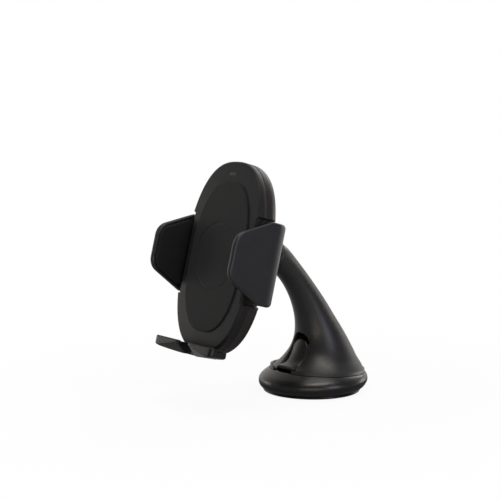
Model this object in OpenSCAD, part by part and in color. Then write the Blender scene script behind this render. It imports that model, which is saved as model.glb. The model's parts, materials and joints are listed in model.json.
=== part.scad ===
// A suction-mounted charging holder: a bell-shaped foot on a suction cup, a curved neck,
// a ball joint, and a charging head whose two side jaws and lower foot grip a flat slab.
// Origin: centre of the suction cup's face. +Z is up, and the holder faces -Y.
// Pieces of the head are written in the head's own frame, with its origin at the centre of
// the front pad's face, x to the right, y back through the head and z up along it.

/* [Suction base] */
// Radius of the suction cup's contact face
cup_r = 29; // [27:0.1:31]
// How far the cup's rim stands out past its contact face
cup_lip = 0.9; // [0.4:0.1:1.2]
// Height of the cup's rim, on which the base ring presses
cup_rim_h = 1.9; // [1.4:0.1:2.2]
// Height of the hollow under the middle of the cup
cup_hollow_h = 3.4; // [2.6:0.1:3.6]
// Thickness of the cup's membrane
cup_wall = 2.6; // [2:0.1:2.8]
// Widest radius of the base ring
ring_r = 33.4; // [32.7:0.1:35]
// Height of the joint between the base ring and the bell, at its middle
ring_h = 12.2; // [12:0.1:13]
// Angle by which that joint tips down towards the back
ring_tip = 3.4; // [0:0.1:4]
// Wall thickness of the base ring and the bell
base_wall = 2.5; // [2:0.1:2.8]

/* [Neck] */
// Radius of the bell where it meets the base ring
bell_r = 29.7; // [29:0.1:30.5]
// How far the bell's lower edge stands behind the cup's centre
bell_back = 4.6; // [4:0.1:5.5]
// Radius of the neck at its slimmest
neck_r = 7.5; // [7.2:0.1:8.5]
// Forward reach from the cup's centre to the ball's centre
ball_reach = 39.4; // [37:0.1:42]
// Height of the ball's centre above the surface
ball_h = 91.1; // [88:0.1:96]
// Angle of the neck's upper end from the vertical
neck_lean = 60; // [56:1:64]

/* [Ball joint] */
// Radius of the ball
ball_r = 8.5; // [8.2:0.1:8.8]
// Radius of the stem between the ball and the neck
stem_r = 3.6; // [3:0.1:3.8]
// Distance from the ball's centre to the neck's end face
stem_len = 10.5; // [10.5:0.1:12]
// Running clearance of the ball, the liners and the slides
run_gap = 0.1; // [0.05:0.01:0.1]
// Outer radius of the collar nut
collar_r = 15; // [14.4:0.1:16]

/* [Suction lever] */
// Half width of the lever
lever_hw = 7.8; // [7:0.1:8]
// Side gap between the lever and its slot
lever_gap = 0.45; // [0.35:0.05:0.6]
// Height of the lever's pin above the surface
pin_h = 27; // [26.8:0.1:27.4]
// Radius of the lever's pin
pin_r = 1.5; // [1.2:0.1:1.8]
// Radius of the lever's cam
cam_r = 6.2; // [5.8:0.1:6.3]
// Offset of the cam from the pin
cam_off = 3; // [2.6:0.1:3.1]
// Radius of the plunger's post
post_r = 4; // [3.8:0.1:4.3]

/* [Head] */
// Backward tilt of the head
head_tilt = 14.1; // [8:0.1:18]
// How far the head's sides stand beyond its waist
head_side = 3.5; // [3:0.1:4]
// Half height of the head
head_hh = 56; // [54:0.1:58]
// Depth of the head from the pad's face to its back
head_d = 16.9; // [16.9:0.1:17.5]
// Radius of the rounded edge at the back
head_edge_r = 8; // [7:0.1:8.5]
// Depth at which the front cover meets the back shell
seam_d = 6; // [5.8:0.1:6.1]
// How far the front pad stands proud of the front cover
pad_proud = 0.8; // [0.5:0.1:1]
// Wall of the two shells
shell_wall = 2; // [1.6:0.1:2.1]
// Room between the waist and each jaw pad at rest
waist_room = 5.5; // [5:0.1:6]
// Half height of the waist
waist_hh = 24.4; // [24.2:0.1:26]

/* [Jaws] */
// Width between the jaw pads at rest
grip_w = 72; // [71:0.1:74]
// Thickness of the jaws' walls
jaw_t = 3.2; // [2.8:0.1:3.4]
// Thickness of the jaw pads
jaw_pad_t = 1.3; // [1:0.1:1.5]
// How far the jaw pads stand out of the jaws
jaw_pad_proud = 0.8; // [0.5:0.1:0.9]
// How far the jaws reach in front of the pad's face
jaw_reach = 18; // [16:0.1:21]
// Half height of the jaws at the back
jaw_hh = 23.6; // [22:0.1:23.8]
// Half height of the jaws' front edge
jaw_front_hh = 12.2; // [11:0.1:13.5]
// Radius of the jaws' rear corner
jaw_corner_r = 11; // [10:0.1:11.5]

/* [Foot] */
// Half width of the foot
foot_hw = 28.4; // [26:0.1:29]
// Height of the place where the slab stands above the head's lower end
foot_rise = 4; // [3:0.1:4.5]
// How far the foot hangs below the head's lower end
foot_hang = 2.4; // [1.8:0.1:3.5]
// Reach of the foot in front of the pad's face
foot_reach = 11.1; // [10:0.1:13]
// Half width of the gap between the foot's claws
claw_gap = 5; // [4:0.1:6]
// Height of the claws' lips above the slab's lower edge
claw_lip_h = 1; // [0.8:0.1:2]

/* [Hidden] */

// Overrun of every cut
cut = 1;
// Gap between faces that move past each other, and the gap beside a fixed round plug
gap = 0.3;
plug_gap = 0.05;
// Smoothness of true arcs, and sides of the lofted forms
$fn = 64;
neck_sides = 48;
neck_inner_sides = 36;
ring_sides = 48;
head_sides = 72;
edge_steps = 4;
corner_steps = 6;

// Colours
black = [0.07, 0.07, 0.08];
soft_black = [0.13, 0.12, 0.14];
warm_black = [0.17, 0.16, 0.15];
rubber = [0.05, 0.05, 0.05];
gel = [0.10, 0.10, 0.11];
steel = [0.62, 0.63, 0.65];
zinc = [0.75, 0.76, 0.78];
copper = [0.72, 0.42, 0.22];
ferrite = [0.20, 0.20, 0.21];
board_green = [0.05, 0.28, 0.16];
pom = [0.88, 0.87, 0.83];
lens = [0.85, 0.90, 0.95];

// Base ring: height, radius, setback and tip at each level, as shares of ring_h, ring_r,
// bell_back and ring_tip
ring_floor_share = 0.156;
ring_shares = [
    [ring_floor_share, 0.903, 0, 0], [0.25, 0.951, 0.04, 0.02], [0.37, 0.982, 0.11, 0.08],
    [0.50, 0.9985, 0.21, 0.17], [0.63, 1, 0.33, 0.3], [0.76, 0.979, 0.50, 0.46],
    [0.87, 0.948, 0.73, 0.64], [0.95, 0.916, 0.91, 0.83]
];
// The ledge inside the base ring, the guide plate on it and the boss that guides the post
ledge_h = 7.4;
ledge_t = 2;
ledge_in_r = 16;
ledge_out_r = 27.5;
plate_r = 25;
plate_t = 2.4;
plate_back_share = 0.9;
guide_boss_r = 8.8;
spring_room_r = 7.2;
washer_t = 0.8;
washer_r = 8.6;
cam_gap = 0.08;
// Angle of the cam's offset, ahead of straight down, and the travel of the lever
cam_lead = 65;
// The cam's resting underside is where the washer lies
cam_floor = pin_h - cam_off * cos(cam_lead) - cam_r;
washer_top = cam_floor - cam_gap;
plate_floor = ledge_h + ledge_t;
plate_top = plate_floor + plate_t;

// Suction cup, core plate and post
cup_land = 4;
cup_top = cup_hollow_h + cup_wall;
cup_seat_in = 2.2;
core_r = 11;
core_t = 2;
post_flat_hw = 3;
post_over_pin = 4;
spring_wire_r = 0.55;
spring_r = 5.6;
plunger_turns = 6;

// Screws
screw_r = 1.1;
screw_head_r = 2.1;
screw_head_t = 1.3;
boss_r = 3;
base_screw_len = 9.5;
base_screw_r = 19.5;
base_boss_h = 8;

// Neck: share of the height from the bell's edge to the neck's end, share of the setback from
// the neck's end to the bell's edge, radius as a share of neck_r, and share of neck_lean
neck_shares = [
    [0.058, 1.040, 3.453, -0.01], [0.113, 1.063, 3.013, 0], [0.187, 1.076, 2.58, 0.03],
    [0.289, 1.037, 2.117, 0.13], [0.405, 0.943, 1.707, 0.30], [0.540, 0.812, 1.387, 0.47],
    [0.690, 0.622, 1.147, 0.60], [0.832, 0.393, 1.033, 0.72], [0.955, 0.141, 1.067, 0.86]
];
neck_end_r = 8.2;
neck_edge_r = 1.4;
neck_end_y = -ball_reach + stem_len * sin(neck_lean);
neck_end_z = ball_h - stem_len * cos(neck_lean);
neck_steps = 3;
neck_hollow_rows = 7;
shank_r = 4;
shank_len = 13;
stud_pin_r = 1.25;
stud_pin_hw = 7;
stud_pin_in = 6.5;

// Lever and its slot
slot_hw = lever_hw + lever_gap;
slot_top = 36.5;
slot_depth = 30;
slot_back = 4.6;
lever_top = 33.6;
lever_tip_y = 21.8;
lever_tip_top = 17.4;
lever_tip_corner_r = 4.5;
lever_hub_r = 7.2;
lever_hub_turn = 10;
lever_low_r = 4.7;
lever_web_y = 6.6;
pin_hw = 7;

// Ball joint in the head's frame
ball_behind = 14.6;
ball_d = head_d + ball_behind;
ball_up = 11.5;
liner_t = 1.05;
cup_open_angle = 55;
socket_r = 12.4;
socket_plug_r = 8.8;
socket_floor_t = 2;
seat_ring_r = 12;
seat_ring_from = 0.4;
seat_ring_to = 4.2;
collar_from = 1.5;
collar_lip_to = 5.5;
collar_mouth_r = 7.7;
collar_mouth_flare = 0.7;
collar_ribs = 18;
collar_rib_r = 0.9;

// Head: power of the outline's curve, and the edges
outline_power = 2.5;
front_edge_r = 1.8;
cover_wall = 1.8;
waist_hw = grip_w / 2 - waist_room;
head_hw = waist_hw + head_side;
pad_side = 5.5;
pad_end = 12;
pad_hw = waist_hw - pad_side;
pad_hh = head_hh - pad_end;
pad_t = 1.4;
pad_recess = pad_t - pad_proud;
// Housing screws, from the back shell into posts on the front cover
housing_x = 19;
housing_top_end = 17;
housing_low_end = 19;
housing_top = head_hh - housing_top_end;
housing_low = head_hh - housing_low_end;
housing_post_end = 12;
// Charging parts, from the front cover's inner face backwards
coil_in_r = 9;
ferrite_side = 7.5;
ferrite_r = waist_hw - ferrite_side;
coil_edge = 1.5;
coil_out_r = ferrite_r - coil_edge;
coil_from = 3;
coil_t = 1.4;
ferrite_from = 4.5;
ferrite_t = 0.8;
carrier_from = 5.4;
carrier_t = 1.2;
carrier_side = 5;
carrier_hw = waist_hw - carrier_side;
carrier_corner = 3.5;
carrier_post = carrier_hw - carrier_corner;
carrier_post_r = 2;
board_from = 9.8;
board_t = 1.2;
board_side = 6.5;
board_hw = waist_hw - board_side;
board_hh = 24;
board_tongue_hw = 7;
board_low_end = 6;
board_top_end = 4;
board_low = head_hh - board_low_end;
board_top = head_hh - board_top_end;
chip_t = 1.3;
chip_a = 9;
chip_b = 6;
usb_hw = 4.5;
usb_t = 3.2;
usb_len = 7.4;
usb_in = 1.6;
usb_mouth = head_hh - usb_in;
usb_wall = 0.35;
usb_gap = 0.35;
light_end = 7.5;
light_z = head_hh - light_end;
light_hw = 3.2;
light_hh = 0.9;
light_len = 7.2;
led_hw = 1.6;
led_hh = 0.8;
led_t = 1.4;

// Rack cover and the rack drive behind the back shell
cover_hw = 16.5;
cover_low = 27;
cover_high = 23.5;
cover_corner_r = 6;
rack_cover_wall = 1.6;
cover_floor = head_d;
cover_back = head_d + gap + jaw_t + gap + rack_cover_wall;
cover_inner = cover_back - rack_cover_wall;
cover_screw_x = 12.2;
cover_screw_high = 19.6;
cover_screw_low = 19.6;
tooth_count = 12;
tooth_module = 0.75;
pinion_r = tooth_count * tooth_module / 2;
pressure_angle = 25;
tooth_add = 0.5;
tooth_ded = 0.62;
tooth_slack = 0.12;
pinion_z = -7.5;
rack_end = 8.5;
rack_bar_h = 4;
rack_from = head_d + gap + gap;
rack_t = jaw_t - 2 * gap;
axle_r = 1.5;
pinion_from = rack_from + 0.8;
pinion_t = 2.1;
hub_r = 2.5;
spiral_turns = 2;
spiral_t = 0.25;
spiral_step = 0.5;
leg_end = 22;
leg_hh = 18;
leg_corner_r = 4;

// Jaws
jaw_out = grip_w / 2 + jaw_pad_proud + jaw_t;
jaw_back = head_d + gap + jaw_t;
jaw_front_r = 5;
jaw_back_r = 10;
jaw_front_in = 4.6;
jaw_slope_end = 6;
jaw_pad_border = 2.2;
jaw_pad_back = 5;

// Release button, its pawl and spring
button_hw = 6.5;
button_hh = 3;
button_z = -21.4;
button_proud = 1.5;
button_corner_r = 1.5;
flange_side = 0.8;
flange_t = 0.8;
pawl_hw = 5;
pawl_t = 1.4;
pawl_clear = 0.2;
pawl_teeth = 4;
pawl_pitch = 1.5;
pawl_tooth_h = 0.7;
button_spring_r = 2;
button_turns = 2;

// Foot
foot_drop = head_hh - foot_rise;
foot_low = head_hh + foot_hang;
foot_arc_r = 200;
claw_cut_rise = 5.9;
claw_cut_tilt = 41.4;
claw_cut_turn = 76.2;
foot_corner_r = 2.5;
claw_corner_r = 2;
claw_lip_t = 1.8;
web_d = 3;
foot_root_hw = 9.5;
foot_root_top = head_hh + gap;
stem_from = seam_d + gap;
stem_t = 1.8;
stem_top = 28;
foot_pad_t = 0.8;
foot_pad_in = 1.5;
foot_back = gap;
guide_t = 1.5;
guide_top = 27;
guide_end = 6;
guide_low = head_hh - guide_end;

// Places a piece of the head: the head turns about the ball's centre
module in_head() {
    translate([0, -ball_reach, ball_h]) rotate([-head_tilt, 0, 0]) translate([0, -ball_d, -ball_up])
        children();
}

// Turns the children's +Z to the head's +Y, the direction back through the head
module backwards() {
    rotate([-90, 0, 0]) children();
}

// Places a piece on the ball's stem, with +Z from the ball towards the neck
module on_stem() {
    translate([0, -ball_reach, ball_h]) rotate([-90 - (90 - neck_lean), 0, 0]) children();
}

// Closed solid through a list of rings with the same number of points each
module loft(rings) {
    n = len(rings[0]);
    last = len(rings) - 1;
    sides = [for (k = [0:last - 1]) for (i = [0:n - 1]) let (j = (i + 1) % n)
        each [[k * n + i, (k + 1) * n + i, (k + 1) * n + j], [k * n + i, (k + 1) * n + j, k * n + j]]];
    polyhedron(
        points = [for (ring = rings) each ring],
        faces = concat([[for (i = [0:n - 1]) i]], sides, [[for (i = [n - 1:-1:0]) last * n + i]])
    );
}

// Closed skin through a list of rings, the last joined to the first
module tube(rings) {
    n = len(rings[0]);
    m = len(rings);
    polyhedron(
        points = [for (ring = rings) each ring],
        faces = [for (k = [0:m - 1]) for (i = [0:n - 1]) let (j = (i + 1) % n, u = (k + 1) % m)
            each [[k * n + i, u * n + i, u * n + j], [k * n + i, u * n + j, k * n + j]]]
    );
}

// Ring of radius r about a centre, leaning by an angle towards -Y
function disc_ring(y, z, r, lean, sides) = [for (i = [0:sides - 1]) let (a = 360 * i / sides)
    [r * cos(a), y + r * sin(a) * cos(lean), z + r * sin(a) * sin(lean)]];

// Catmull-Rom value between the rows b and c of four rows
function blend_row(a, b, c, d, t) = 0.5 * (2 * b + (c - a) * t + (2 * a - 5 * b + 4 * c - d) * t * t
    + (3 * b - a - 3 * c + d) * t * t * t);
function smooth_rows(rows, steps) = let (last = len(rows) - 1) concat(
    [for (k = [0:last - 1]) for (s = [0:steps - 1])
        blend_row(rows[max(k - 1, 0)], rows[k], rows[k + 1], rows[min(k + 2, last)], s / steps)],
    [rows[last]]);

// Helical spring about Z, from the height z0 to z1, as one tube of six sides
module helix(r, wire, z0, z1, turns) {
    steps = 12 * turns;
    loft([for (k = [0:steps]) let (a = 360 * turns * k / steps, z = z0 + wire + (z1 - z0 - 2 * wire) * k / steps)
        [for (i = [0:5]) let (b = -60 * i) [(r + wire * cos(b)) * cos(a), (r + wire * cos(b)) * sin(a),
            z + wire * sin(b)]]]);
}

// Corner points replaced by arcs of the given radii, for a convex outline drawn clockwise
function unit(v) = v / norm(v);
function corner_arc(a, b, c, r, steps) = let (u = unit(a - b), w = unit(c - b), half = acos(u * w) / 2,
    mid = b + unit(u + w) * r / sin(half), from = b + u * r / tan(half) - mid, span = 180 - 2 * half)
    [for (k = [0:steps]) mid + turned(from, -span * k / steps)];
function round_points(points, radii) = let (n = len(points)) [for (k = [0:n - 1])
    each corner_arc(points[(k + n - 1) % n], points[k], points[(k + 1) % n], radii[k], corner_steps)];

// Flat shapes
module round_rect(hw, hh, r) {
    square([2 * hw, 2 * (hh - r)], center = true);
    square([2 * (hw - r), 2 * hh], center = true);
    for (sx = [-1, 1], sy = [-1, 1]) translate([sx * (hw - r), sy * (hh - r)]) circle(r);
}

// Base ring and bell
ring_rows = concat([for (s = ring_shares) [s[0] * ring_h, s[1] * ring_r, s[2] * bell_back, s[3] * ring_tip]],
    [[ring_h, bell_r, bell_back, ring_tip]]);
function ring_at(row, wall) = disc_ring(row[2], row[0], row[1] - wall, -row[3], ring_sides);
ring_floor = ring_floor_share * ring_h;

neck_rise = neck_end_z - ring_h;
neck_set = bell_back - neck_end_y;
neck_end_in = [neck_end_y + neck_edge_r * sin(neck_lean), neck_end_z - neck_edge_r * cos(neck_lean)];
neck_rows = concat(
    [[bell_back, ring_h, bell_r, -ring_tip]],
    [for (s = neck_shares)
        [neck_end_y + s[1] * neck_set, ring_h + s[0] * neck_rise, s[2] * neck_r, s[3] * neck_lean]],
    [[neck_end_in[0], neck_end_in[1], neck_end_r, neck_lean]]);
neck_edge = [for (k = [1:edge_steps]) let (a = 90 * k / edge_steps)
    [neck_end_in[0] - neck_edge_r * sin(a) * sin(neck_lean),
     neck_end_in[1] + neck_edge_r * sin(a) * cos(neck_lean),
     neck_end_r - neck_edge_r * (1 - cos(a)), neck_lean]];
module neck_form() {
    loft([for (row = concat(smooth_rows(neck_rows, neck_steps), neck_edge))
        disc_ring(row[0], row[1], row[2], row[3], neck_sides)]);
}
module neck_hollow() {
    rows = smooth_rows([for (k = [0:neck_hollow_rows]) neck_rows[k]], 2);
    mouth = [[rows[0][0], rows[0][1] - cut, rows[0][2], rows[0][3]]];
    loft([for (row = concat(mouth, rows))
        disc_ring(row[0], row[1], row[2] - base_wall, row[3], neck_inner_sides)]);
}
module base_screw_places() {
    for (a = [90, 210, 330])
        translate([base_screw_r * cos(a), plate_back_share * bell_back + base_screw_r * sin(a), 0])
            children();
}

module suction_cup() {
    color(gel) rotate_extrude() polygon([
        [0, cup_hollow_h], [core_r, cup_hollow_h], [cup_r - cup_land, 0], [cup_r, 0],
        [cup_r + cup_lip, cup_rim_h / 2], [cup_r + cup_lip / 2, cup_rim_h],
        [cup_r - cup_seat_in, cup_rim_h], [core_r + cup_wall, cup_top], [0, cup_top]
    ]);
}

// The base ring's skin: up the outside, down the inside and round the ledge for the guide plate
module base_ring() {
    last = len(ring_rows) - 1;
    above = [for (k = [last:-1:0]) if (ring_rows[k][0] > plate_floor + ledge_t) ring_rows[k]];
    below = [for (k = [last:-1:0]) if (ring_rows[k][0] < ledge_h) ring_rows[k]];
    ledge_y = plate_back_share * bell_back;
    color(black) difference() {
        tube(concat(
            [for (row = ring_rows) ring_at(row, 0)], [for (row = above) ring_at(row, base_wall)],
            [disc_ring(ledge_y, plate_floor, ledge_out_r, 0, ring_sides),
             disc_ring(ledge_y, plate_floor, ledge_in_r, 0, ring_sides),
             disc_ring(ledge_y, ledge_h, ledge_in_r, 0, ring_sides),
             disc_ring(ledge_y, ledge_h, ledge_out_r, 0, ring_sides)],
            [for (row = below) ring_at(row, base_wall)]));
        base_screw_places() cylinder(r = screw_r + plug_gap, h = ring_h);
    }
}

module guide_plate() {
    color(soft_black) difference() {
        union() {
            translate([0, plate_back_share * bell_back, plate_floor])
                cylinder(r = plate_r, h = plate_t);
            translate([0, 0, plate_floor]) cylinder(r = guide_boss_r, h = washer_top - washer_t - plate_floor);
        }
        translate([0, 0, plate_floor - cut]) cylinder(r = post_r + plug_gap, h = ring_h + cut);
        translate([0, 0, plate_floor - cut])
            cylinder(r = spring_room_r, h = washer_top - washer_t - base_wall - plate_floor + cut);
        base_screw_places() translate([0, 0, plate_floor - cut])
            cylinder(r = screw_r + plug_gap, h = ring_h);
    }
}

module cam_washer() {
    color(steel) translate([0, 0, washer_top - washer_t]) difference() {
        cylinder(r = washer_r, h = washer_t);
        translate([0, 0, -cut]) cylinder(r = post_r + gap, h = washer_t + 2 * cut);
    }
}

module base_screws() {
    color(steel) base_screw_places() {
        translate([0, 0, ledge_h]) cylinder(r = screw_r, h = base_screw_len);
        translate([0, 0, ledge_h - screw_head_t]) cylinder(r = screw_head_r, h = screw_head_t);
    }
}

// The bell and the neck in one moulding, hollow up to the neck's upper third
module arm() {
    color(warm_black) difference() {
        union() {
            difference() {
                neck_form();
                neck_hollow();
            }
            base_screw_places() translate([0, 0, plate_top]) cylinder(r = boss_r, h = 2 * cut + ring_h - plate_top);
            intersection() {
                neck_form();
                base_screw_places() translate([0, 0, ring_h]) cylinder(r = boss_r, h = base_boss_h);
            }
        }
        base_screw_places() translate([0, 0, ledge_h])
            cylinder(r = screw_r + plug_gap, h = base_screw_len + cut);
        translate([0, -slot_back, 0]) rotate([90, 0, 0]) linear_extrude(slot_depth) {
            translate([-slot_hw, ring_h - cut]) square([2 * slot_hw, slot_top - slot_hw - ring_h + cut]);
            translate([0, slot_top - slot_hw]) circle(slot_hw);
        }
        on_stem() translate([0, 0, stem_len - cut]) cylinder(r = shank_r + plug_gap, h = shank_len + 2 * cut);
        on_stem() translate([0, 0, stem_len + stud_pin_in]) rotate([0, 90, 0])
            cylinder(r = stud_pin_r + plug_gap, h = 2 * (stud_pin_hw + gap), center = true);
    }
}

module ball_stud() {
    color(zinc) difference() {
        on_stem() rotate_extrude() polygon(concat(
            [for (k = [0:32]) let (a = -90 + (90 + acos(stem_r / ball_r)) * k / 32)
                [k == 0 ? 0 : ball_r * cos(a), ball_r * sin(a)]],
            [[stem_r, stem_len], [shank_r, stem_len], [shank_r, stem_len + shank_len],
             [0, stem_len + shank_len]]));
        on_stem() translate([0, 0, stem_len + stud_pin_in]) rotate([0, 90, 0])
            cylinder(r = stud_pin_r + plug_gap, h = 2 * stud_pin_hw, center = true);
    }
}

module stud_pin() {
    color(steel) on_stem() translate([0, 0, stem_len + stud_pin_in]) rotate([0, 90, 0])
        cylinder(r = stud_pin_r, h = 2 * stud_pin_hw, center = true);
}

module plunger_spring() {
    color(steel) helix(spring_r, spring_wire_r, cup_top + core_t, washer_top - washer_t - base_wall,
        plunger_turns);
}

module core_plate() {
    color(soft_black) translate([0, 0, cup_top]) difference() {
        cylinder(r = core_r, h = core_t);
        translate([0, 0, core_t / 2]) cylinder(r = post_r + plug_gap, h = core_t);
    }
}

// Round post with two flats, which passes up between the lever's cheeks
module plunger_post() {
    color(zinc) difference() {
        intersection() {
            translate([0, 0, cup_top + core_t / 2])
                cylinder(r = post_r, h = pin_h + post_over_pin - cup_top - core_t / 2);
            union() {
                cylinder(r = 2 * post_r, h = washer_top - washer_t);
                translate([-post_flat_hw, -2 * post_r, 0]) cube([2 * post_flat_hw, 4 * post_r, 2 * pin_h]);
            }
        }
        translate([0, 0, pin_h]) rotate([0, 90, 0])
            cylinder(r = pin_r + plug_gap / 2, h = 4 * post_r, center = true);
    }
}

module lever_pin() {
    color(steel) translate([0, 0, pin_h]) rotate([0, 90, 0]) cylinder(r = pin_r, h = 2 * pin_hw, center = true);
}

// Side outline of the lever: a tongue that follows the bell and flares out at its tip
lever_outline = [
    [-0.35, 1], [-0.41, 0.86], [-0.49, 0.63], [-0.56, 0.42], [-0.67, 0.22], [-0.81, 0.055], [-1, 0],
    [-1.01, -0.13], [-0.82, -0.11], [-0.66, 0.03], [-0.52, 0.20], [-0.38, 0.30]
];
module suction_lever() {
    lever_rise = lever_top - lever_tip_top;
    color(warm_black) difference() {
        intersection() {
            rotate([90, 0, 90]) translate([0, 0, -lever_hw]) linear_extrude(2 * lever_hw) {
                translate([0, pin_h]) circle(lever_low_r);
                translate([0, pin_h]) rotate(lever_hub_turn) intersection() {
                    circle(lever_hub_r);
                    translate([-lever_hub_r, 0]) square([2 * lever_hub_r, lever_hub_r]);
                }
                translate([-cam_off * sin(cam_lead), pin_h - cam_off * cos(cam_lead)]) circle(cam_r);
                polygon([for (p = lever_outline) [p[0] * lever_tip_y, lever_tip_top + p[1] * lever_rise]]);
            }
            rotate([90, 0, 0]) linear_extrude(2 * slot_depth, center = true) {
                translate([0, lever_top - lever_hw]) circle(lever_hw);
                translate([-lever_hw, 0]) square([2 * lever_hw, lever_top - lever_hw]);
            }
            linear_extrude(slot_top) {
                translate([-lever_hw, lever_tip_corner_r - lever_tip_y])
                    square([2 * lever_hw, slot_depth]);
                translate([0, -lever_tip_y]) round_rect(lever_hw, lever_tip_y, lever_tip_corner_r);
            }
        }
        translate([-post_flat_hw - gap, -lever_web_y, 0])
            cube([2 * (post_flat_hw + gap), slot_depth, slot_top]);
        translate([0, 0, pin_h]) rotate([0, 90, 0])
            cylinder(r = pin_r + plug_gap, h = 4 * lever_hw, center = true);
    }
}

// Front liner of the ball: a cap of a spherical shell about the stem's axis
module seat_cup() {
    color(pom) on_stem() intersection() {
        difference() {
            sphere(ball_r + run_gap + liner_t);
            sphere(ball_r + run_gap);
        }
        translate([0, 0, -2 * ball_r])
            cylinder(r = 2 * ball_r, h = 2 * ball_r - (ball_r + run_gap) * cos(cup_open_angle));
    }
}

// Rear liner of the ball: a ring about the socket's axis, under the collar nut's lip
module seat_ring() {
    color(pom) in_head() translate([0, ball_d, ball_up]) backwards() difference() {
        translate([0, 0, seat_ring_from]) cylinder(r = seat_ring_r, h = seat_ring_to - seat_ring_from);
        sphere(ball_r + run_gap);
    }
}

socket_inner_r = ball_r + liner_t + 2 * run_gap;
module ball_socket() {
    color(soft_black) in_head() translate([0, ball_d, ball_up]) backwards() difference() {
        union() {
            translate([0, 0, cover_back - ball_d]) cylinder(r = socket_r, h = ball_d - cover_back - plug_gap);
            translate([0, 0, -socket_inner_r - socket_floor_t])
                cylinder(r = socket_plug_r, h = socket_inner_r + socket_floor_t + cover_back - ball_d);
        }
        sphere(socket_inner_r);
    }
}

module collar_nut() {
    color(warm_black) in_head() translate([0, ball_d, ball_up]) backwards() difference() {
        translate([0, 0, cover_back - ball_d + collar_from])
            cylinder(r = collar_r, h = ball_d - cover_back - collar_from + collar_lip_to);
        translate([0, 0, cover_back - ball_d]) cylinder(r = socket_r + run_gap, h = ball_d - cover_back
            + seat_ring_to + run_gap);
        cylinder(r = collar_mouth_r, h = 2 * collar_lip_to);
        translate([0, 0, seat_ring_to + run_gap]) cylinder(
            r1 = collar_mouth_r, r2 = collar_mouth_r + 2 * collar_mouth_flare,
            h = 2 * (collar_lip_to - seat_ring_to));
        for (k = [0:collar_ribs - 1]) rotate(360 * k / collar_ribs)
            translate([collar_r + collar_rib_r / 2, 0, -ball_d]) cylinder(r = collar_rib_r, h = 2 * ball_d, $fn = 24);
    }
}

// Outline of the head: a superellipse ring at the depth y
function head_ring(hw, hh, y) = [for (i = [0:head_sides - 1]) let (a = 360 * i / head_sides)
    [hw * sign(sin(a)) * pow(abs(sin(a)), 2 / outline_power), y,
     hh * sign(cos(a)) * pow(abs(cos(a)), 2 / outline_power)]];
// Head-shaped solid from the depth y0 to y1 with rounded edges r0 and r1
module head_form(hw, hh, y0, y1, r0, r1) {
    front = r0 == 0 ? [head_ring(hw, hh, y0)] : [for (k = [0:edge_steps]) let (a = 90 * k / edge_steps)
        head_ring(hw - r0 * (1 - sin(a)), hh - r0 * (1 - sin(a)), y0 + r0 * (1 - cos(a)))];
    back = r1 == 0 ? [head_ring(hw, hh, y1)] : [for (k = [0:edge_steps]) let (a = 90 * k / edge_steps)
        head_ring(hw - r1 * (1 - cos(a)), hh - r1 * (1 - cos(a)), y1 - r1 * (1 - sin(a)))];
    loft(concat(front, back));
}
// What the waist takes away on both sides, kept clear of the inside by a wall
module waist_cut(wall) {
    hw = waist_hw - wall;
    back = head_d - wall;
    r = head_edge_r - wall;
    for (s = [0, 1]) mirror([s, 0, 0]) translate([0, 0, -waist_hh - wall])
        linear_extrude(2 * (waist_hh + wall)) difference() {
            translate([hw - r, -head_d]) square([2 * head_hw, 3 * head_d]);
            translate([0, -2 * head_d]) square([hw, 2 * head_d + back - r]);
            translate([hw - r, back - r]) circle(r);
        }
}
module housing_places() {
    for (s = [-1, 1]) {
        translate([s * housing_x, 0, housing_top]) backwards() children();
        translate([s * housing_x, 0, -housing_low]) backwards() children();
    }
}
module cover_screw_places() {
    for (s = [-1, 1]) {
        translate([s * cover_screw_x, 0, cover_screw_high]) backwards() children();
        translate([s * cover_screw_x, 0, -cover_screw_low]) backwards() children();
    }
}

module back_shell() {
    color(warm_black) in_head() difference() {
        union() {
            difference() {
                head_form(head_hw, head_hh, seam_d, head_d, 0, head_edge_r);
                waist_cut(0);
                difference() {
                    head_form(head_hw - shell_wall, head_hh - shell_wall, seam_d - cut, head_d - shell_wall,
                        0, head_edge_r - shell_wall);
                    waist_cut(shell_wall);
                }
            }
            housing_places() translate([0, 0, housing_post_end]) cylinder(r = boss_r,
                h = head_d - shell_wall / 2 - housing_post_end);
            for (s = [0, 1]) mirror([s, 0, 0]) translate([foot_root_hw + gap, seam_d, -guide_low])
                cube([guide_t, head_d - shell_wall / 2 - seam_d, guide_low - guide_top]);
            translate([-foot_root_hw - gap - guide_t, stem_from + stem_t + gap, -guide_low])
                cube([2 * (foot_root_hw + gap + guide_t), guide_t / 2, guide_low - guide_top]);
        }
        housing_places() cylinder(r = screw_r + plug_gap, h = 2 * head_d);
        housing_places() translate([0, 0, head_d - screw_head_t]) cylinder(r = screw_head_r + gap, h = head_d);
        cover_screw_places() cylinder(r = screw_r + plug_gap, h = 2 * head_d);
        translate([0, 0, pinion_z]) backwards() cylinder(r = axle_r + plug_gap, h = 2 * head_d);
        translate([-foot_root_hw - gap, seam_d - cut, -2 * head_hh])
            cube([2 * (foot_root_hw + gap), stem_from + stem_t + gap - seam_d + cut, 2 * head_hh - guide_top]);
        translate([0, board_from + board_t + usb_t / 2, -head_hh]) linear_extrude(2 * usb_len, center = true)
            round_rect(usb_hw + gap, usb_t / 2 + gap, usb_t / 2);
    }
}

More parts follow.
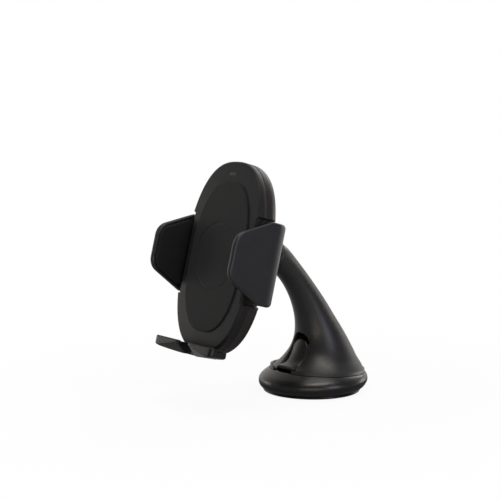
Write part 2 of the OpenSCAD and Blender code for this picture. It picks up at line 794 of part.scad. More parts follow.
module front_cover() {
    color(black) in_head() difference() {
        union() {
            difference() {
                head_form(head_hw, head_hh, pad_proud, seam_d, front_edge_r, 0);
                waist_cut(0);
                difference() {
                    head_form(head_hw - cover_wall, head_hh - cover_wall, pad_proud + cover_wall, seam_d + cut, 0, 0);
                    waist_cut(cover_wall);
                }
            }
            housing_places() translate([0, 0, pad_proud + cover_wall / 2]) cylinder(r = boss_r,
                h = housing_post_end - pad_proud - cover_wall / 2);
        }
        head_form(pad_hw + plug_gap, pad_hh + plug_gap, -cut, pad_t, 0, 0);
        housing_places() translate([0, 0, pad_proud + cover_wall]) cylinder(r = screw_r, h = head_d);
        translate([0, -cut, light_z]) backwards() linear_extrude(head_d)
            round_rect(light_hw + plug_gap, light_hh + plug_gap, light_hh);
    }
}

module housing_screws() {
    color(steel) in_head() housing_places() {
        translate([0, 0, housing_post_end - base_screw_len / 2])
            cylinder(r = screw_r - plug_gap, h = head_d - screw_head_t - housing_post_end + base_screw_len / 2);
        translate([0, 0, head_d - screw_head_t]) cylinder(r = screw_head_r, h = screw_head_t);
    }
}

module front_pad() {
    color(rubber) in_head() head_form(pad_hw, pad_hh, 0, pad_t, 0, 0);
}

module charging_coil() {
    color(copper) in_head() translate([0, coil_from, 0]) backwards() difference() {
        cylinder(r = coil_out_r, h = coil_t);
        translate([0, 0, -cut]) cylinder(r = coil_in_r, h = coil_t + 2 * cut);
    }
}

module ferrite_plate() {
    color(ferrite) in_head() translate([0, ferrite_from, 0]) backwards() cylinder(r = ferrite_r, h = ferrite_t);
}

module coil_carrier() {
    color(pom) in_head() {
        translate([-carrier_hw, carrier_from, -carrier_hw]) cube([2 * carrier_hw, carrier_t, 2 * carrier_hw]);
        for (sx = [-1, 1], sz = [-1, 1]) translate([sx * carrier_post, pad_proud + cover_wall, sz * carrier_post])
            backwards() cylinder(r = carrier_post_r, h = board_from - pad_proud - cover_wall);
    }
}

module circuit_board() {
    color(board_green) in_head() {
        difference() {
            union() {
                translate([-board_hw, board_from, -board_hh]) cube([2 * board_hw, board_t, 2 * board_hh]);
                translate([-board_tongue_hw, board_from, -board_low])
                    cube([2 * board_tongue_hw, board_t, board_low + board_top]);
            }
            translate([0, 0, pinion_z]) backwards() cylinder(r = 2 * axle_r, h = 2 * head_d);
            cover_screw_places() cylinder(r = screw_head_r + gap, h = 2 * head_d);
        }
        for (s = [-1, 1]) translate([s * chip_a - chip_b / 2, board_from + board_t, chip_a])
            cube([chip_b, chip_t, chip_b]);
        translate([-chip_b / 2, board_from + board_t, -chip_a - 2 * chip_b]) cube([chip_b, chip_t, chip_b]);
    }
}

module usb_socket() {
    color(zinc) in_head() translate([0, board_from + board_t + usb_t / 2, -usb_mouth]) {
        difference() {
            linear_extrude(usb_len) round_rect(usb_hw, usb_t / 2, usb_t / 2 - plug_gap);
            translate([0, 0, -cut]) linear_extrude(usb_len - 2 * usb_wall + cut)
                round_rect(usb_hw - usb_wall, usb_t / 2 - usb_wall, usb_t / 2 - usb_wall - plug_gap);
        }
        translate([-usb_hw + 3 * usb_wall, -usb_wall, usb_gap])
            cube([2 * usb_hw - 6 * usb_wall, 2 * usb_wall, usb_len - usb_gap - 2 * usb_wall]);
    }
}

module status_led() {
    color(lens) in_head() translate([-led_hw, board_from - led_t, light_z - led_hh])
        cube([2 * led_hw, led_t, 2 * led_hh]);
}

module light_pipe() {
    color(lens) in_head() translate([0, pad_proud, light_z]) backwards() linear_extrude(light_len)
        round_rect(light_hw, light_hh, light_hh - plug_gap);
}

module rack_cover() {
    color(soft_black) in_head() difference() {
        cover_box(0, cover_back);
        cover_box(rack_cover_wall, cover_inner);
        cover_bosses(screw_r + plug_gap, 2 * cover_back);
        translate([0, 0, ball_up]) backwards() cylinder(r = socket_plug_r + plug_gap, h = 2 * cover_back);
        for (side = [-1, 1]) translate([side * cover_hw, rack_from - gap, rack_mid(side)])
            cube([4 * rack_cover_wall, 2 * (rack_t + 2 * gap), rack_bar_h + tooth_add + 2 * gap], center = true);
        translate([0, 0, button_z]) backwards() linear_extrude(2 * cover_back)
            round_rect(button_hw + gap, button_hh + gap, button_corner_r + gap);
    }
    color(soft_black) in_head() difference() {
        cover_bosses(boss_r, cover_back - rack_cover_wall / 2 - cover_floor);
        cover_bosses(screw_r + plug_gap, 2 * cover_back);
    }
}
// Height of the middle of a rack bar: the left jaw's runs above the pinion, the right jaw's below
function rack_mid(side) = pinion_z - side * (pinion_r + rack_bar_h / 2);
module cover_box(wall, back) {
    mid = (cover_high - cover_low) / 2;
    translate([0, cover_floor - (wall > 0 ? cut : 0), mid]) backwards()
        linear_extrude(back - cover_floor + (wall > 0 ? cut : 0))
            round_rect(cover_hw - wall, (cover_high + cover_low) / 2 - wall, cover_corner_r - wall);
}
module cover_bosses(r, h) {
    cover_screw_places() translate([0, 0, cover_floor - (r < boss_r ? cut : 0)]) cylinder(r = r, h = h);
}

module cover_screws() {
    color(steel) in_head() cover_screw_places() {
        translate([0, 0, head_d - shell_wall - screw_head_t]) cylinder(r = screw_head_r, h = screw_head_t);
        translate([0, 0, head_d - shell_wall - screw_head_t / 2])
            cylinder(r = screw_r, h = cover_inner - head_d + shell_wall);
    }
}

module pinion_axle() {
    color(steel) in_head() translate([0, head_d - shell_wall, pinion_z]) backwards()
        cylinder(r = axle_r, h = cover_inner - head_d + shell_wall);
}

// Point of an involute from a base circle, after unrolling by an angle
function involute(base, a) = base * [cos(a) + a * PI / 180 * sin(a), sin(a) - a * PI / 180 * cos(a)];
function turned(p, a) = [p[0] * cos(a) - p[1] * sin(a), p[0] * sin(a) + p[1] * cos(a)];
base_circle = pinion_r * cos(pressure_angle);
tooth_tip_r = pinion_r + tooth_add;
tooth_half = 90 / tooth_count - tooth_slack / pinion_r * 90 / PI;
involute_at_pitch = tan(pressure_angle) * 180 / PI - pressure_angle;
tip_roll = sqrt(pow(tooth_tip_r / base_circle, 2) - 1) * 180 / PI;
tooth_side = [for (k = [0:4]) turned(involute(base_circle, tip_roll * k / 4), -tooth_half - involute_at_pitch)];
module jaw_pinion() {
    root_r = pinion_r - tooth_ded;
    color(pom) in_head() translate([0, pinion_from, pinion_z]) backwards() difference() {
        union() {
            cylinder(r = root_r, h = pinion_t);
            linear_extrude(pinion_t) for (k = [0:tooth_count - 1]) rotate(360 * k / tooth_count) polygon(concat(
                [[0, 0], turned([root_r, 0], -tooth_half - involute_at_pitch)], tooth_side,
                [for (k = [4:-1:0]) [tooth_side[k][0], -tooth_side[k][1]]],
                [turned([root_r, 0], tooth_half + involute_at_pitch)]));
            translate([0, 0, rack_from - pinion_from]) cylinder(r = hub_r, h = pinion_from - rack_from);
        }
        translate([0, 0, -head_d]) cylinder(r = axle_r + plug_gap, h = 2 * head_d);
    }
}

// Flat spiral spring in front of the pinion, round its hub
module jaw_spring() {
    steps = 24 * spiral_turns;
    inner = [for (k = [0:steps]) let (a = 360 * spiral_turns * k / steps,
        r = hub_r + plug_gap + spiral_step * spiral_turns * k / steps) r * [cos(a), sin(a)]];
    outer = [for (k = [steps:-1:0]) let (a = 360 * spiral_turns * k / steps,
        r = hub_r + plug_gap + spiral_t + spiral_step * spiral_turns * k / steps) r * [cos(a), sin(a)]];
    color(steel) in_head() translate([0, rack_from, pinion_z]) backwards()
        linear_extrude((pinion_from - rack_from) * 0.8) polygon(concat(inner, outer));
}

// Straight rack with its teeth towards -y, its pitch line on y = 0, from x0 to x1
module rack_bar(x0, x1) {
    pitch = PI * tooth_module;
    half = pitch / 4 - tooth_slack / 2;
    lean = tan(pressure_angle);
    translate([x0, tooth_ded]) square([x1 - x0, rack_bar_h - tooth_ded]);
    for (k = [ceil((x0 + half) / pitch - 0.5):floor((x1 - half) / pitch - 0.5)])
        translate([(k + 0.5) * pitch, 0]) polygon([
            [-half - tooth_ded * lean, tooth_ded], [-half + tooth_add * lean, -tooth_add],
            [half - tooth_add * lean, -tooth_add], [half + tooth_ded * lean, tooth_ded]]);
}
// Section of a jaw: a side wall bent round the head's rear corner
module jaw_section() {
    r = jaw_corner_r;
    difference() {
        union() {
            translate([jaw_out - jaw_t, -jaw_reach]) square([jaw_t, jaw_reach + jaw_back - r]);
            translate([leg_end, jaw_back - jaw_t]) square([jaw_out - r - leg_end, jaw_t]);
            intersection() {
                translate([jaw_out - r, jaw_back - r]) circle(r);
                translate([jaw_out - r, jaw_back - r]) square(r);
            }
        }
        translate([jaw_out - r, jaw_back - r]) circle(r - jaw_t);
    }
}
// Side outlines of a jaw and of its pad, which is drawn in by a border
jaw_slope = (jaw_hh - jaw_front_hh) / (jaw_slope_end + jaw_reach);
module mirrored_outline(upper, radii) {
    last = len(upper) - 1;
    polygon(round_points(concat(upper, [for (k = [last:-1:0]) [upper[k][0], -upper[k][1]]]),
        concat(radii, [for (k = [last:-1:0]) radii[k]])));
}
module jaw_outline() {
    mirrored_outline([[-jaw_reach, jaw_front_hh], [jaw_slope_end, jaw_hh], [jaw_back, jaw_hh]],
        [jaw_front_r, jaw_front_r, jaw_back_r]);
}
module jaw_pad_outline(border) {
    drop = border * norm([1, jaw_slope]);
    mirrored_outline([[border - jaw_reach, jaw_front_hh + border * jaw_slope - drop],
        [jaw_pad_back, jaw_front_hh + (jaw_pad_back + jaw_reach) * jaw_slope - drop]],
        [jaw_front_r - border / 2, jaw_pad_border]);
}
module right_jaw_form() {
    difference() {
        intersection() {
            translate([0, 0, -jaw_hh]) linear_extrude(2 * jaw_hh) jaw_section();
            rotate([90, 0, 90]) linear_extrude(2 * jaw_out) jaw_outline();
            backwards() translate([0, 0, -jaw_reach]) linear_extrude(3 * jaw_reach) union() {
                translate([leg_end + leg_corner_r, -jaw_hh]) square([jaw_out, 2 * jaw_hh]);
                translate([leg_end + 2 * leg_corner_r, 0]) round_rect(2 * leg_corner_r, leg_hh, leg_corner_r);
            }
        }
        translate([jaw_out - jaw_t, 0, 0]) rotate([90, 0, 90])
            linear_extrude(2 * (jaw_pad_t - jaw_pad_proud), center = true)
                jaw_pad_outline(jaw_pad_border - plug_gap);
    }
}
module right_jaw() {
    color(soft_black) in_head() {
        right_jaw_form();
        translate([0, rack_from + rack_t, pinion_z - pinion_r]) rotate([90, 0, 0]) mirror([0, 1, 0])
            linear_extrude(rack_t) rack_bar(-rack_end, leg_end + leg_corner_r);
    }
}
module left_jaw() {
    color(soft_black) in_head() {
        mirror([1, 0, 0]) right_jaw_form();
        translate([0, rack_from + rack_t, pinion_z + pinion_r]) rotate([90, 0, 0])
            linear_extrude(rack_t) rack_bar(-leg_end - leg_corner_r, rack_end);
    }
}
module right_jaw_pad_form() {
    translate([grip_w / 2, 0, 0]) rotate([90, 0, 90]) linear_extrude(jaw_pad_t)
        jaw_pad_outline(jaw_pad_border);
}
module right_jaw_pad() {
    color(rubber) in_head() right_jaw_pad_form();
}
module left_jaw_pad() {
    color(rubber) in_head() mirror([1, 0, 0]) right_jaw_pad_form();
}

module release_button() {
    color(black) in_head() translate([0, cover_back, button_z]) backwards() {
        translate([0, 0, -rack_cover_wall - gap - flange_t]) linear_extrude(rack_cover_wall + gap + flange_t
            + button_proud) round_rect(button_hw, button_hh, button_corner_r);
        translate([0, 0, -rack_cover_wall - gap - flange_t]) linear_extrude(flange_t)
            round_rect(button_hw + flange_side, button_hh + flange_side, button_corner_r);
    }
}

// Toothed block on the button's flange, drawn as it rides over the tips of the lower rack's edge
module ratchet_pawl() {
    top = pinion_z - pinion_r - rack_bar_h - pawl_clear;
    floor_z = button_z + button_hh + flange_side;
    color(zinc) in_head() translate([0, cover_inner - gap, 0]) rotate([90, 0, 0]) linear_extrude(pawl_t)
        polygon(concat([[-pawl_hw, floor_z]],
            [for (k = [0:pawl_teeth - 1]) let (x = -pawl_hw + 2 * pawl_hw * k / pawl_teeth)
                each [[x, top - pawl_tooth_h], [x + 2 * pawl_hw / pawl_teeth, top]]],
            [[pawl_hw, floor_z]]));
}

module button_spring() {
    color(steel) in_head() translate([0, 0, button_z]) backwards()
        helix(button_spring_r, spring_wire_r / 2, head_d, cover_inner - gap - flange_t, button_turns);
}

// Front view of the foot: flat on top, with an arc below
module foot_front(hw, top) {
    intersection() {
        translate([-hw, -2 * foot_low]) square([2 * hw, 2 * foot_low - top]);
        translate([0, foot_arc_r - foot_low]) circle(foot_arc_r, $fn = 180);
    }
}
module foot_layer(hw, top, y0, y1) {
    translate([0, y1, 0]) rotate([90, 0, 0]) linear_extrude(y1 - y0) foot_front(hw, top);
}
// Plan of the foot: two claws with rounded corners and a gap between them
module foot_plan() {
    difference() {
        union() {
            translate([-foot_hw, -foot_reach + foot_corner_r]) square([2 * foot_hw, foot_reach - foot_corner_r - foot_back]);
            translate([-foot_hw + foot_corner_r, -foot_reach]) square([2 * (foot_hw - foot_corner_r), foot_corner_r]);
            for (s = [-1, 1]) translate([s * (foot_hw - foot_corner_r), -foot_reach + foot_corner_r])
                circle(foot_corner_r);
        }
        translate([0, -foot_reach]) square([2 * claw_gap, 2 * (foot_reach - web_d - claw_gap)], center = true);
        translate([0, -web_d - claw_gap]) circle(claw_gap);
        for (s = [-1, 1]) difference() {
            translate([s * (claw_gap + claw_corner_r / 2), -foot_reach + claw_corner_r / 2])
                square(claw_corner_r, center = true);
            translate([s * (claw_gap + claw_corner_r), -foot_reach + claw_corner_r]) circle(claw_corner_r);
        }
    }
}
// Wedge that takes off each claw's lower inner corner, so that its front is tall only at its outer end
module claw_cut() {
    size = 3 * foot_reach;
    for (s = [0, 1]) mirror([s, 0, 0]) intersection() {
        translate([claw_gap, -foot_reach, claw_cut_rise - foot_low])
            rotate([0, claw_cut_tilt, claw_cut_turn]) translate([-size, -size, -2 * size]) cube(2 * size);
        translate([claw_gap - cut, -foot_reach - cut, -2 * foot_low]) cube([foot_hw, foot_reach, 2 * foot_low]);
    }
}
module foot() {
    lip_in = foot_reach - claw_lip_t;
    color(black) in_head() {
        difference() {
            intersection() {
                union() {
                    foot_layer(foot_hw + cut, foot_drop + foot_pad_t, -foot_reach - cut, -foot_back);
                    foot_layer(foot_hw + cut, foot_drop - claw_lip_h, -foot_reach - cut, -lip_in);
                }
                translate([0, 0, -2 * foot_low]) linear_extrude(2 * foot_low) foot_plan();
            }
            claw_cut();
        }
        foot_layer(foot_root_hw, foot_root_top, -web_d, stem_from + stem_t);
        translate([-foot_root_hw, stem_from, -foot_root_top - gap])
            cube([2 * foot_root_hw, stem_t, foot_root_top + gap - stem_top]);
    }
}
module foot_pads() {
    pad_y0 = foot_reach - claw_lip_t - gap;
    pad_y1 = foot_back + foot_pad_in;
    pad_x0 = claw_gap + foot_pad_in;
    color(rubber) in_head() for (s = [0, 1]) mirror([s, 0, 0])
        translate([pad_x0, -pad_y0, -foot_drop - foot_pad_t])
            cube([foot_hw - foot_pad_in - pad_x0, pad_y0 - pad_y1, foot_pad_t]);
}

suction_cup();
base_ring();
guide_plate();
cam_washer();
base_screws();
arm();
ball_stud();
stud_pin();
plunger_spring();
core_plate();
plunger_post();
lever_pin();
suction_lever();
seat_cup();
seat_ring();
ball_socket();
collar_nut();
rack_cover();
cover_screws();
back_shell();
front_cover();
housing_screws();
front_pad();
charging_coil();
ferrite_plate();
coil_carrier();
circuit_board();
usb_socket();
status_led();
light_pipe();
pinion_axle();
jaw_pinion();
jaw_spring();
left_jaw();
left_jaw_pad();
right_jaw();
right_jaw_pad();
release_button();
ratchet_pawl();
button_spring();
foot();
foot_pads();
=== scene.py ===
"""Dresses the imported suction-mounted charging holder: smooth moulded skins, padded jaws, metal fittings
and a pale studio. Everything ends in metres in the row's frame; shapes are worked out in millimetres."""
import json
import math

import bmesh
import bpy
import numpy as np
from mathutils import Matrix, Vector

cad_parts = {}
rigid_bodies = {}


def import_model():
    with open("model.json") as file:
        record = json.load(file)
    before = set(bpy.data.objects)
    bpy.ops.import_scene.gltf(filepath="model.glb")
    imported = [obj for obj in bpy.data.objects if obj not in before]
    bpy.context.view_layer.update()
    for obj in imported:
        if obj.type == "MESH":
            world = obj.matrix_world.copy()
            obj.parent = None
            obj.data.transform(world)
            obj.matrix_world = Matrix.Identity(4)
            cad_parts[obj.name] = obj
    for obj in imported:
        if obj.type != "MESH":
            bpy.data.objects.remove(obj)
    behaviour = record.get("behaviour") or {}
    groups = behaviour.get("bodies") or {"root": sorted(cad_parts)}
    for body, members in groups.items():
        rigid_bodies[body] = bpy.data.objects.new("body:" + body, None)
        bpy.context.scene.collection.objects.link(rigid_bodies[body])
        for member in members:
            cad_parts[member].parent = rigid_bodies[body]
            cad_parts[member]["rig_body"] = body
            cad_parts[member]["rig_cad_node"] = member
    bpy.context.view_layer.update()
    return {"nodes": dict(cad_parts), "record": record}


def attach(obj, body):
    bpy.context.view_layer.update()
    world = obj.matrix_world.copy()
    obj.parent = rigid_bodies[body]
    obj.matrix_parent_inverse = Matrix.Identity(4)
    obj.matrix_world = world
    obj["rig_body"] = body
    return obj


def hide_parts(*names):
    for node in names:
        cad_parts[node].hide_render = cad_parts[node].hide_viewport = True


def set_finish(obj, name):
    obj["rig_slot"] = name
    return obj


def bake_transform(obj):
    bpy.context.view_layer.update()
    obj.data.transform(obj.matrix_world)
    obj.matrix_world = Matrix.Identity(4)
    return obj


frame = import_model()
NODES = frame["nodes"]
SCENE = bpy.context.scene
MM = 0.001

# The camera stands where the fit to the photograph put it.
CAMERA_PLACE = (0.5502, -0.4688, 0.1602)
CAMERA_RIGHT = (0.60767916, 0.79418262, 0.0)
CAMERA_UP = (-0.08064039, 0.06170304, 0.99483157)
CAMERA_AHEAD = (-0.79007795, 0.60453842, -0.10153885)
CAMERA_LENS, CAMERA_SENSOR = 85.47, 36.0

# The head's lean in degrees, and the ball's centre in the row's frame and in the head's own frame
HEAD_TILT = 14.1
BALL = np.array([0.0, -39.4, 91.1])
BALL_IN_HEAD = np.array([0.0, 31.5, 11.5])

# Neck and bell: setback y, height z, radius and lean of each section, from the bell's edge to the ball
NECK_ROWS = np.array([
    [4.6, 12.2, 29.7, -3.4], [6.0, 16.47, 25.9, -0.6], [6.8, 20.52, 22.6, 0.0], [7.25, 25.97, 19.35, 1.8],
    [5.89, 33.48, 15.88, 7.8], [2.61, 42.03, 12.8, 18.0], [-1.96, 51.97, 10.4, 28.2],
    [-8.6, 63.02, 8.6, 36.0], [-16.59, 73.48, 7.75, 43.2], [-25.39, 82.53, 8.0, 51.6],
    [-29.1, 85.15, 8.2, 60.0]])
BELL_LIP = np.array([[0.0, 0.03, -0.35, 0.0], [0.0, 0.05, -0.12, 0.0], [0.0, 0.14, -0.06, 0.0]])
NECK_LEAN, NECK_EDGE, NECK_WALL = 60.0, 1.4, 2.2
NECK_FACE_RADII = (5.4, 4.1, 2.0, 0.02)
NECK_COLUMNS, NECK_SCALE = 300, 15.0
SLOT_HALF_WIDTH, SLOT_TOP, SLOT_BACK, SLOT_FAR = 8.25, 36.5, 3.0, 50.0

# Base ring: setback, height, radius and tip of each level of its outside
RING_ROWS = np.array([
    [0.0, 1.90, 30.16, 0.0], [0.18, 3.05, 31.76, 0.07], [0.51, 4.51, 32.8, 0.27], [0.97, 6.10, 33.35, 0.58],
    [1.52, 7.69, 33.4, 1.02], [2.3, 9.27, 32.7, 1.56], [3.36, 10.61, 31.66, 2.18], [4.19, 11.59, 30.6, 2.82],
    [4.6, 12.2, 29.7, 3.4]])
RING_OVER = np.array([[0, -0.12, 0.10, 0], [0, -0.04, -0.12, 0], [0, -0.03, -2.3, 0]])
RING_UNDER = np.array([[0, 0.25, -2.4, 0], [0, 0, -2.2, 0], [0, -0.02, -0.5, 0], [0, 0.06, -0.16, 0]])
RING_WALL, RING_COLUMNS = 2.5, 240

# Suction cup: radius and height of its profile, over the hollow face, round the rim and back over the top
CUP_PROFILE = np.array([
    [0.01, 3.4], [4, 3.38], [8, 3.3], [11, 3.15], [14, 2.75], [17, 2.2], [20, 1.5], [22.5, 0.8], [24.3, 0.25],
    [25.0, 0.05], [25.6, 0.0], [26.6, 0.0], [26.8, 0.18], [27.1, 0.18], [27.3, 0.0], [28.6, 0.0],
    [29.2, 0.12], [29.62, 0.4], [29.88, 0.85], [29.86, 1.2], [29.68, 1.55], [29.3, 1.8], [28.8, 1.9],
    [26.8, 1.9], [24, 2.4], [20, 3.7], [16, 5.1], [13.5, 5.85], [13.0, 6.0], [8, 6.0], [0.01, 6.0]])
CUP_COLUMNS = 200

# Head: outline, depth, the seam between its shells, their inset and distance at the seam, and the front pad
HEAD_HALF_WIDTH, HEAD_HALF_HEIGHT, HEAD_DEPTH = 34.0, 56.0, 16.9
HEAD_BACK_RADIUS, HEAD_FRONT_RADIUS, COVER_FRONT = 8.0, 1.8, 0.8
OUTLINE_POWER = 2.5
WAIST_HALF_WIDTH, WAIST_HALF_HEIGHT, WAIST_SOFTNESS = 30.5, 24.4, 0.9
SEAM, SEAM_LIP = 6.0, ((2.0, 0.02), (0.45, 0.02), (0.12, 0.10), (0.0, 0.35))
PAD_HALF_WIDTH, PAD_HALF_HEIGHT, PAD_COLUMNS = 25.0, 44.0, 200
PAD_GROOVE_RADIUS, PAD_GROOVE_WIDTH, PAD_GROOVE_DEPTH = 19.5, 0.55, 0.3

# Jaws: each is a plate bent round the head's side; runs along it start at its front edge
JAW_OUT, JAW_BACK, JAW_WALL, JAW_CORNER = 40.0, 20.4, 3.2, 11.0
JAW_REACH, JAW_LEG_END, JAW_LEG_HALF_HEIGHT = 18.0, 22.0, 17.0
JAW_HALF_HEIGHT, JAW_FRONT_HALF_HEIGHT, JAW_SLOPE_END = 23.6, 12.2, 6.0
JAW_TAPER, JAW_EDGE, JAW_SPINE = 8.5, 1.45, 9.0
JAW_RADII = [9.0, 6.0, 12.0, 4.0, 3.5]
SIDE_RUN = JAW_REACH + JAW_BACK - JAW_CORNER
BEND_RUN = JAW_CORNER * math.pi / 2
JAW_PAD_BORDER, JAW_PAD_BACK, JAW_PAD_THICKNESS, JAW_PAD_INNER = 2.2, 5.0, 1.25, 36.0
JAW_PAD_RADII = [6.8, 2.2]

# Racks and the pinion they meet
PINION_Z, PITCH_RADIUS, TOOTH_MODULE, TOOTH_ANGLE = -7.5, 4.5, 0.75, 25.0
TOOTH_ABOVE, TOOTH_BELOW, TOOTH_SLACK, RACK_BAR = 0.5, 0.62, 0.12, 4.0
RACK_SHORT, RACK_LONG, RACK_FRONT, RACK_BACK = 8.5, 26.0, 17.5, 20.1

# Lever: the hub about its pin, the cam, and the tongue's front line as setback y and height z
PIN_Z, HUB_RADIUS, HUB_LOW_RADIUS, HUB_TURN = 27.0, 7.05, 4.55, 10.0
CAM_RADIUS, CAM_OFFSET, CAM_ANGLE = 6.05, 3.0, 205.0
CHEEK_INNER, CHEEK_OUTER = 3.35, 7.6
TONGUE_HALF_WIDTH, TONGUE_TIP_HALF_WIDTH, TONGUE_CROWN, TONGUE_THICKNESS = 7.0, 7.7, 1.8, 3.1
TONGUE_LINE = np.array([[-6.9, 34.1], [-8.0, 32.9], [-9.1, 30.9], [-10.7, 27.6], [-12.3, 24.3], [-14.4, 21.2],
                        [-17.2, 18.9], [-20.0, 17.9], [-22.1, 17.5]])
TONGUE_TIP_RUN = 7.0

# Foot: its claws, and the bars behind them as half width, top, bottom, front, back and edge
FOOT_HALF_WIDTH, FOOT_REACH, FOOT_LOW, FOOT_SEAT, FOOT_BACK = 28.35, 11.05, 58.35, 52.85, 0.15
FOOT_TIP_TOP, FOOT_LIP = 51.05, 1.7
CLAW_GAP, FOOT_ARC = 5.05, 200.0
CLAW_CUT_TOP, CLAW_CUT_SIDE_SLOPE, CLAW_CUT_BACK_SLOPE = 52.5, 0.21, 0.857
CLAW_INNER_ROUND, CLAW_INNER_DRAW, CLAW_OUTER_ROUND, CLAW_OUTER_DRAW = 1.4, 0.09, 2.5, 0.225
FOOT_BARS = {
    "foot_bar": (6.5, -53.0, -58.2, -2.9, -FOOT_BACK, 0.4),
    "foot_root": (9.4, -56.2, -58.1, -2.0, 7.8, 0.3),
    "foot_stem": (9.4, -28.1, -57.4, 6.15, 7.8, 0.2)}

# Collar nut, along the ball's axis from the head
COLLAR_FRONT, COLLAR_BACK, COLLAR_RADIUS, COLLAR_ROUND = 23.85, 36.95, 15.0, 2.6
COLLAR_GROOVES, COLLAR_STEPS, GROOVE_RADIUS, GROOVE_OFFSET = 18, 26, 0.95, 0.40


def linked(name, data):
    """A new object for some data, in the scene."""
    thing = bpy.data.objects.new(name, data)
    SCENE.collection.objects.link(thing)
    return thing


def make_camera():
    """Sets up the photograph's view, with no depth of field."""
    data = bpy.data.cameras.new("camera")
    data.lens = CAMERA_LENS
    data.sensor_width = CAMERA_SENSOR
    data.clip_start, data.clip_end = 0.05, 20.0
    camera = linked("camera", data)
    turn = Matrix((CAMERA_RIGHT, CAMERA_UP, [-v for v in CAMERA_AHEAD])).transposed()
    camera.matrix_world = Matrix.Translation(CAMERA_PLACE) @ turn.to_4x4()
    SCENE.camera = camera


def head_place(points):
    """Points in the head's own frame to the row's frame: turned back by the tilt about the ball's centre."""
    c, s = math.cos(math.radians(HEAD_TILT)), math.sin(math.radians(HEAD_TILT))
    q = np.asarray(points, float) - BALL_IN_HEAD
    return np.stack([q[..., 0], q[..., 1] * c + q[..., 2] * s, -q[..., 1] * s + q[..., 2] * c], -1) + BALL


def head_prism_place(x, z, y):
    """Places an outline of (x, z) at the depth y of the head."""
    return head_place(np.stack([x, y, z], -1))


def full_turn(count):
    """Evenly spaced angles of a full turn."""
    return np.linspace(0, 2 * math.pi, count, endpoint=False)


def smooth_rows(rows, steps):
    """Catmull-Rom curve through the rows, with the given number of steps in each stretch."""
    padded = np.vstack([rows[:1], rows, rows[-1:]])
    t = (np.arange(steps) / steps)[None, :, None]
    a, b, c, d = (padded[k:len(rows) - 1 + k][:, None, :] for k in range(4))
    curve = 0.5 * (2 * b + (c - a) * t + (2 * a - 5 * b + 4 * c - d) * t ** 2
                   + (3 * b - a - 3 * c + d) * t ** 3)
    return np.vstack([curve.reshape(-1, rows.shape[1]), rows[-1:]])


def section_points(y, z, r, lean, a):
    """Points at the angles a of circles of radius r about (0, y, z), leaning towards -Y by lean degrees."""
    lean = np.radians(lean)
    return np.stack([r * np.cos(a), y + r * np.sin(a) * np.cos(lean), z + r * np.sin(a) * np.sin(lean)], -1)


def grid_quads(rows, columns, wrap_rows=False):
    """Quads of a grid of points stored row by row, its columns and optionally its rows joined round."""
    r, c = np.meshgrid(np.arange(rows if wrap_rows else rows - 1), np.arange(columns), indexing="ij")
    up, on = (r + 1) % rows, (c + 1) % columns
    corners = [r * columns + c, r * columns + on, up * columns + on, up * columns + c]
    return np.stack(corners, -1).reshape(-1, 4)


def grid_faces(rows, columns, first=False, last=False):
    """The quads of a grid as a list, with a flat face over its first or last row where asked."""
    faces = grid_quads(rows, columns).tolist()
    if first:
        faces.append(list(range(columns)))
    if last:
        faces.append(list(range((rows - 1) * columns, rows * columns)))
    return faces


def smooth_shaded(mesh, sharp):
    """Shades a mesh smooth, apart from its edges that turn more than an angle in degrees."""
    mesh.polygons.foreach_set("use_smooth", [True] * len(mesh.polygons))
    mesh.set_sharp_from_angle(angle=math.radians(sharp))


def new_piece(name, points, faces, body, slot, replaces=(), sharp=40.0):
    """Mesh of points in millimetres in the row's frame, with the slot it takes its finish from. It rides on a
    body, unless that is None."""
    mesh = bpy.data.meshes.new(name)
    points = np.asarray(points, float).reshape(-1, 3) * MM
    mesh.from_pydata(points.tolist(), [], [list(map(int, face)) for face in faces])
    work = bmesh.new()
    work.from_mesh(mesh)
    bmesh.ops.remove_doubles(work, verts=work.verts, dist=0.00001)
    bmesh.ops.recalc_face_normals(work, faces=work.faces)
    work.to_mesh(mesh)
    work.free()
    smooth_shaded(mesh, sharp)
    piece = linked(name, mesh)
    if body:
        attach(piece, body)
    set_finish(piece, slot)
    if replaces:
        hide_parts(*replaces)
    return piece


def bevelled(piece, width, segments=3):
    """Rounds a piece's sharp edges by a width in millimetres."""
    edge = piece.modifiers.new("edge", "BEVEL")
    edge.width = width * MM
    edge.segments = segments
    edge.limit_method = "ANGLE"
    edge.angle_limit = math.radians(35.0)
    edge.use_clamp_overlap = True
    edge.harden_normals = False


def walled(piece, thickness):
    """Gives an open skin its wall, towards its inside."""
    wall = piece.modifiers.new("wall", "SOLIDIFY")
    wall.thickness = thickness * MM
    wall.offset = -1.0
    wall.use_even_offset = False
    wall.use_rim = True


def merged_copy(node, name, slot, sharp, flat=0.0):
    """A copy of a CAD node with its vertices merged and, up to an angle in degrees, its flat faces joined. It
    stands for the node and rides on no body yet."""
    mesh = NODES[node].data.copy()
    work = bmesh.new()
    work.from_mesh(mesh)
    bmesh.ops.remove_doubles(work, verts=work.verts, dist=0.000002)
    if flat:
        bmesh.ops.dissolve_limit(work, angle_limit=math.radians(flat), verts=work.verts, edges=work.edges)
    work.to_mesh(mesh)
    work.free()
    mesh.materials.clear()
    smooth_shaded(mesh, sharp)
    piece = linked(name, mesh)
    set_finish(piece, slot)
    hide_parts(node)
    return piece


def finished_copy(node, slot, width):
    """A merged copy of a CAD node, on the node's body, with its edges rounded."""
    piece = merged_copy(node, node + "_finished", slot, 35.0, flat=0.6)
    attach(piece, NODES[node]["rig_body"])
    bevelled(piece, width)


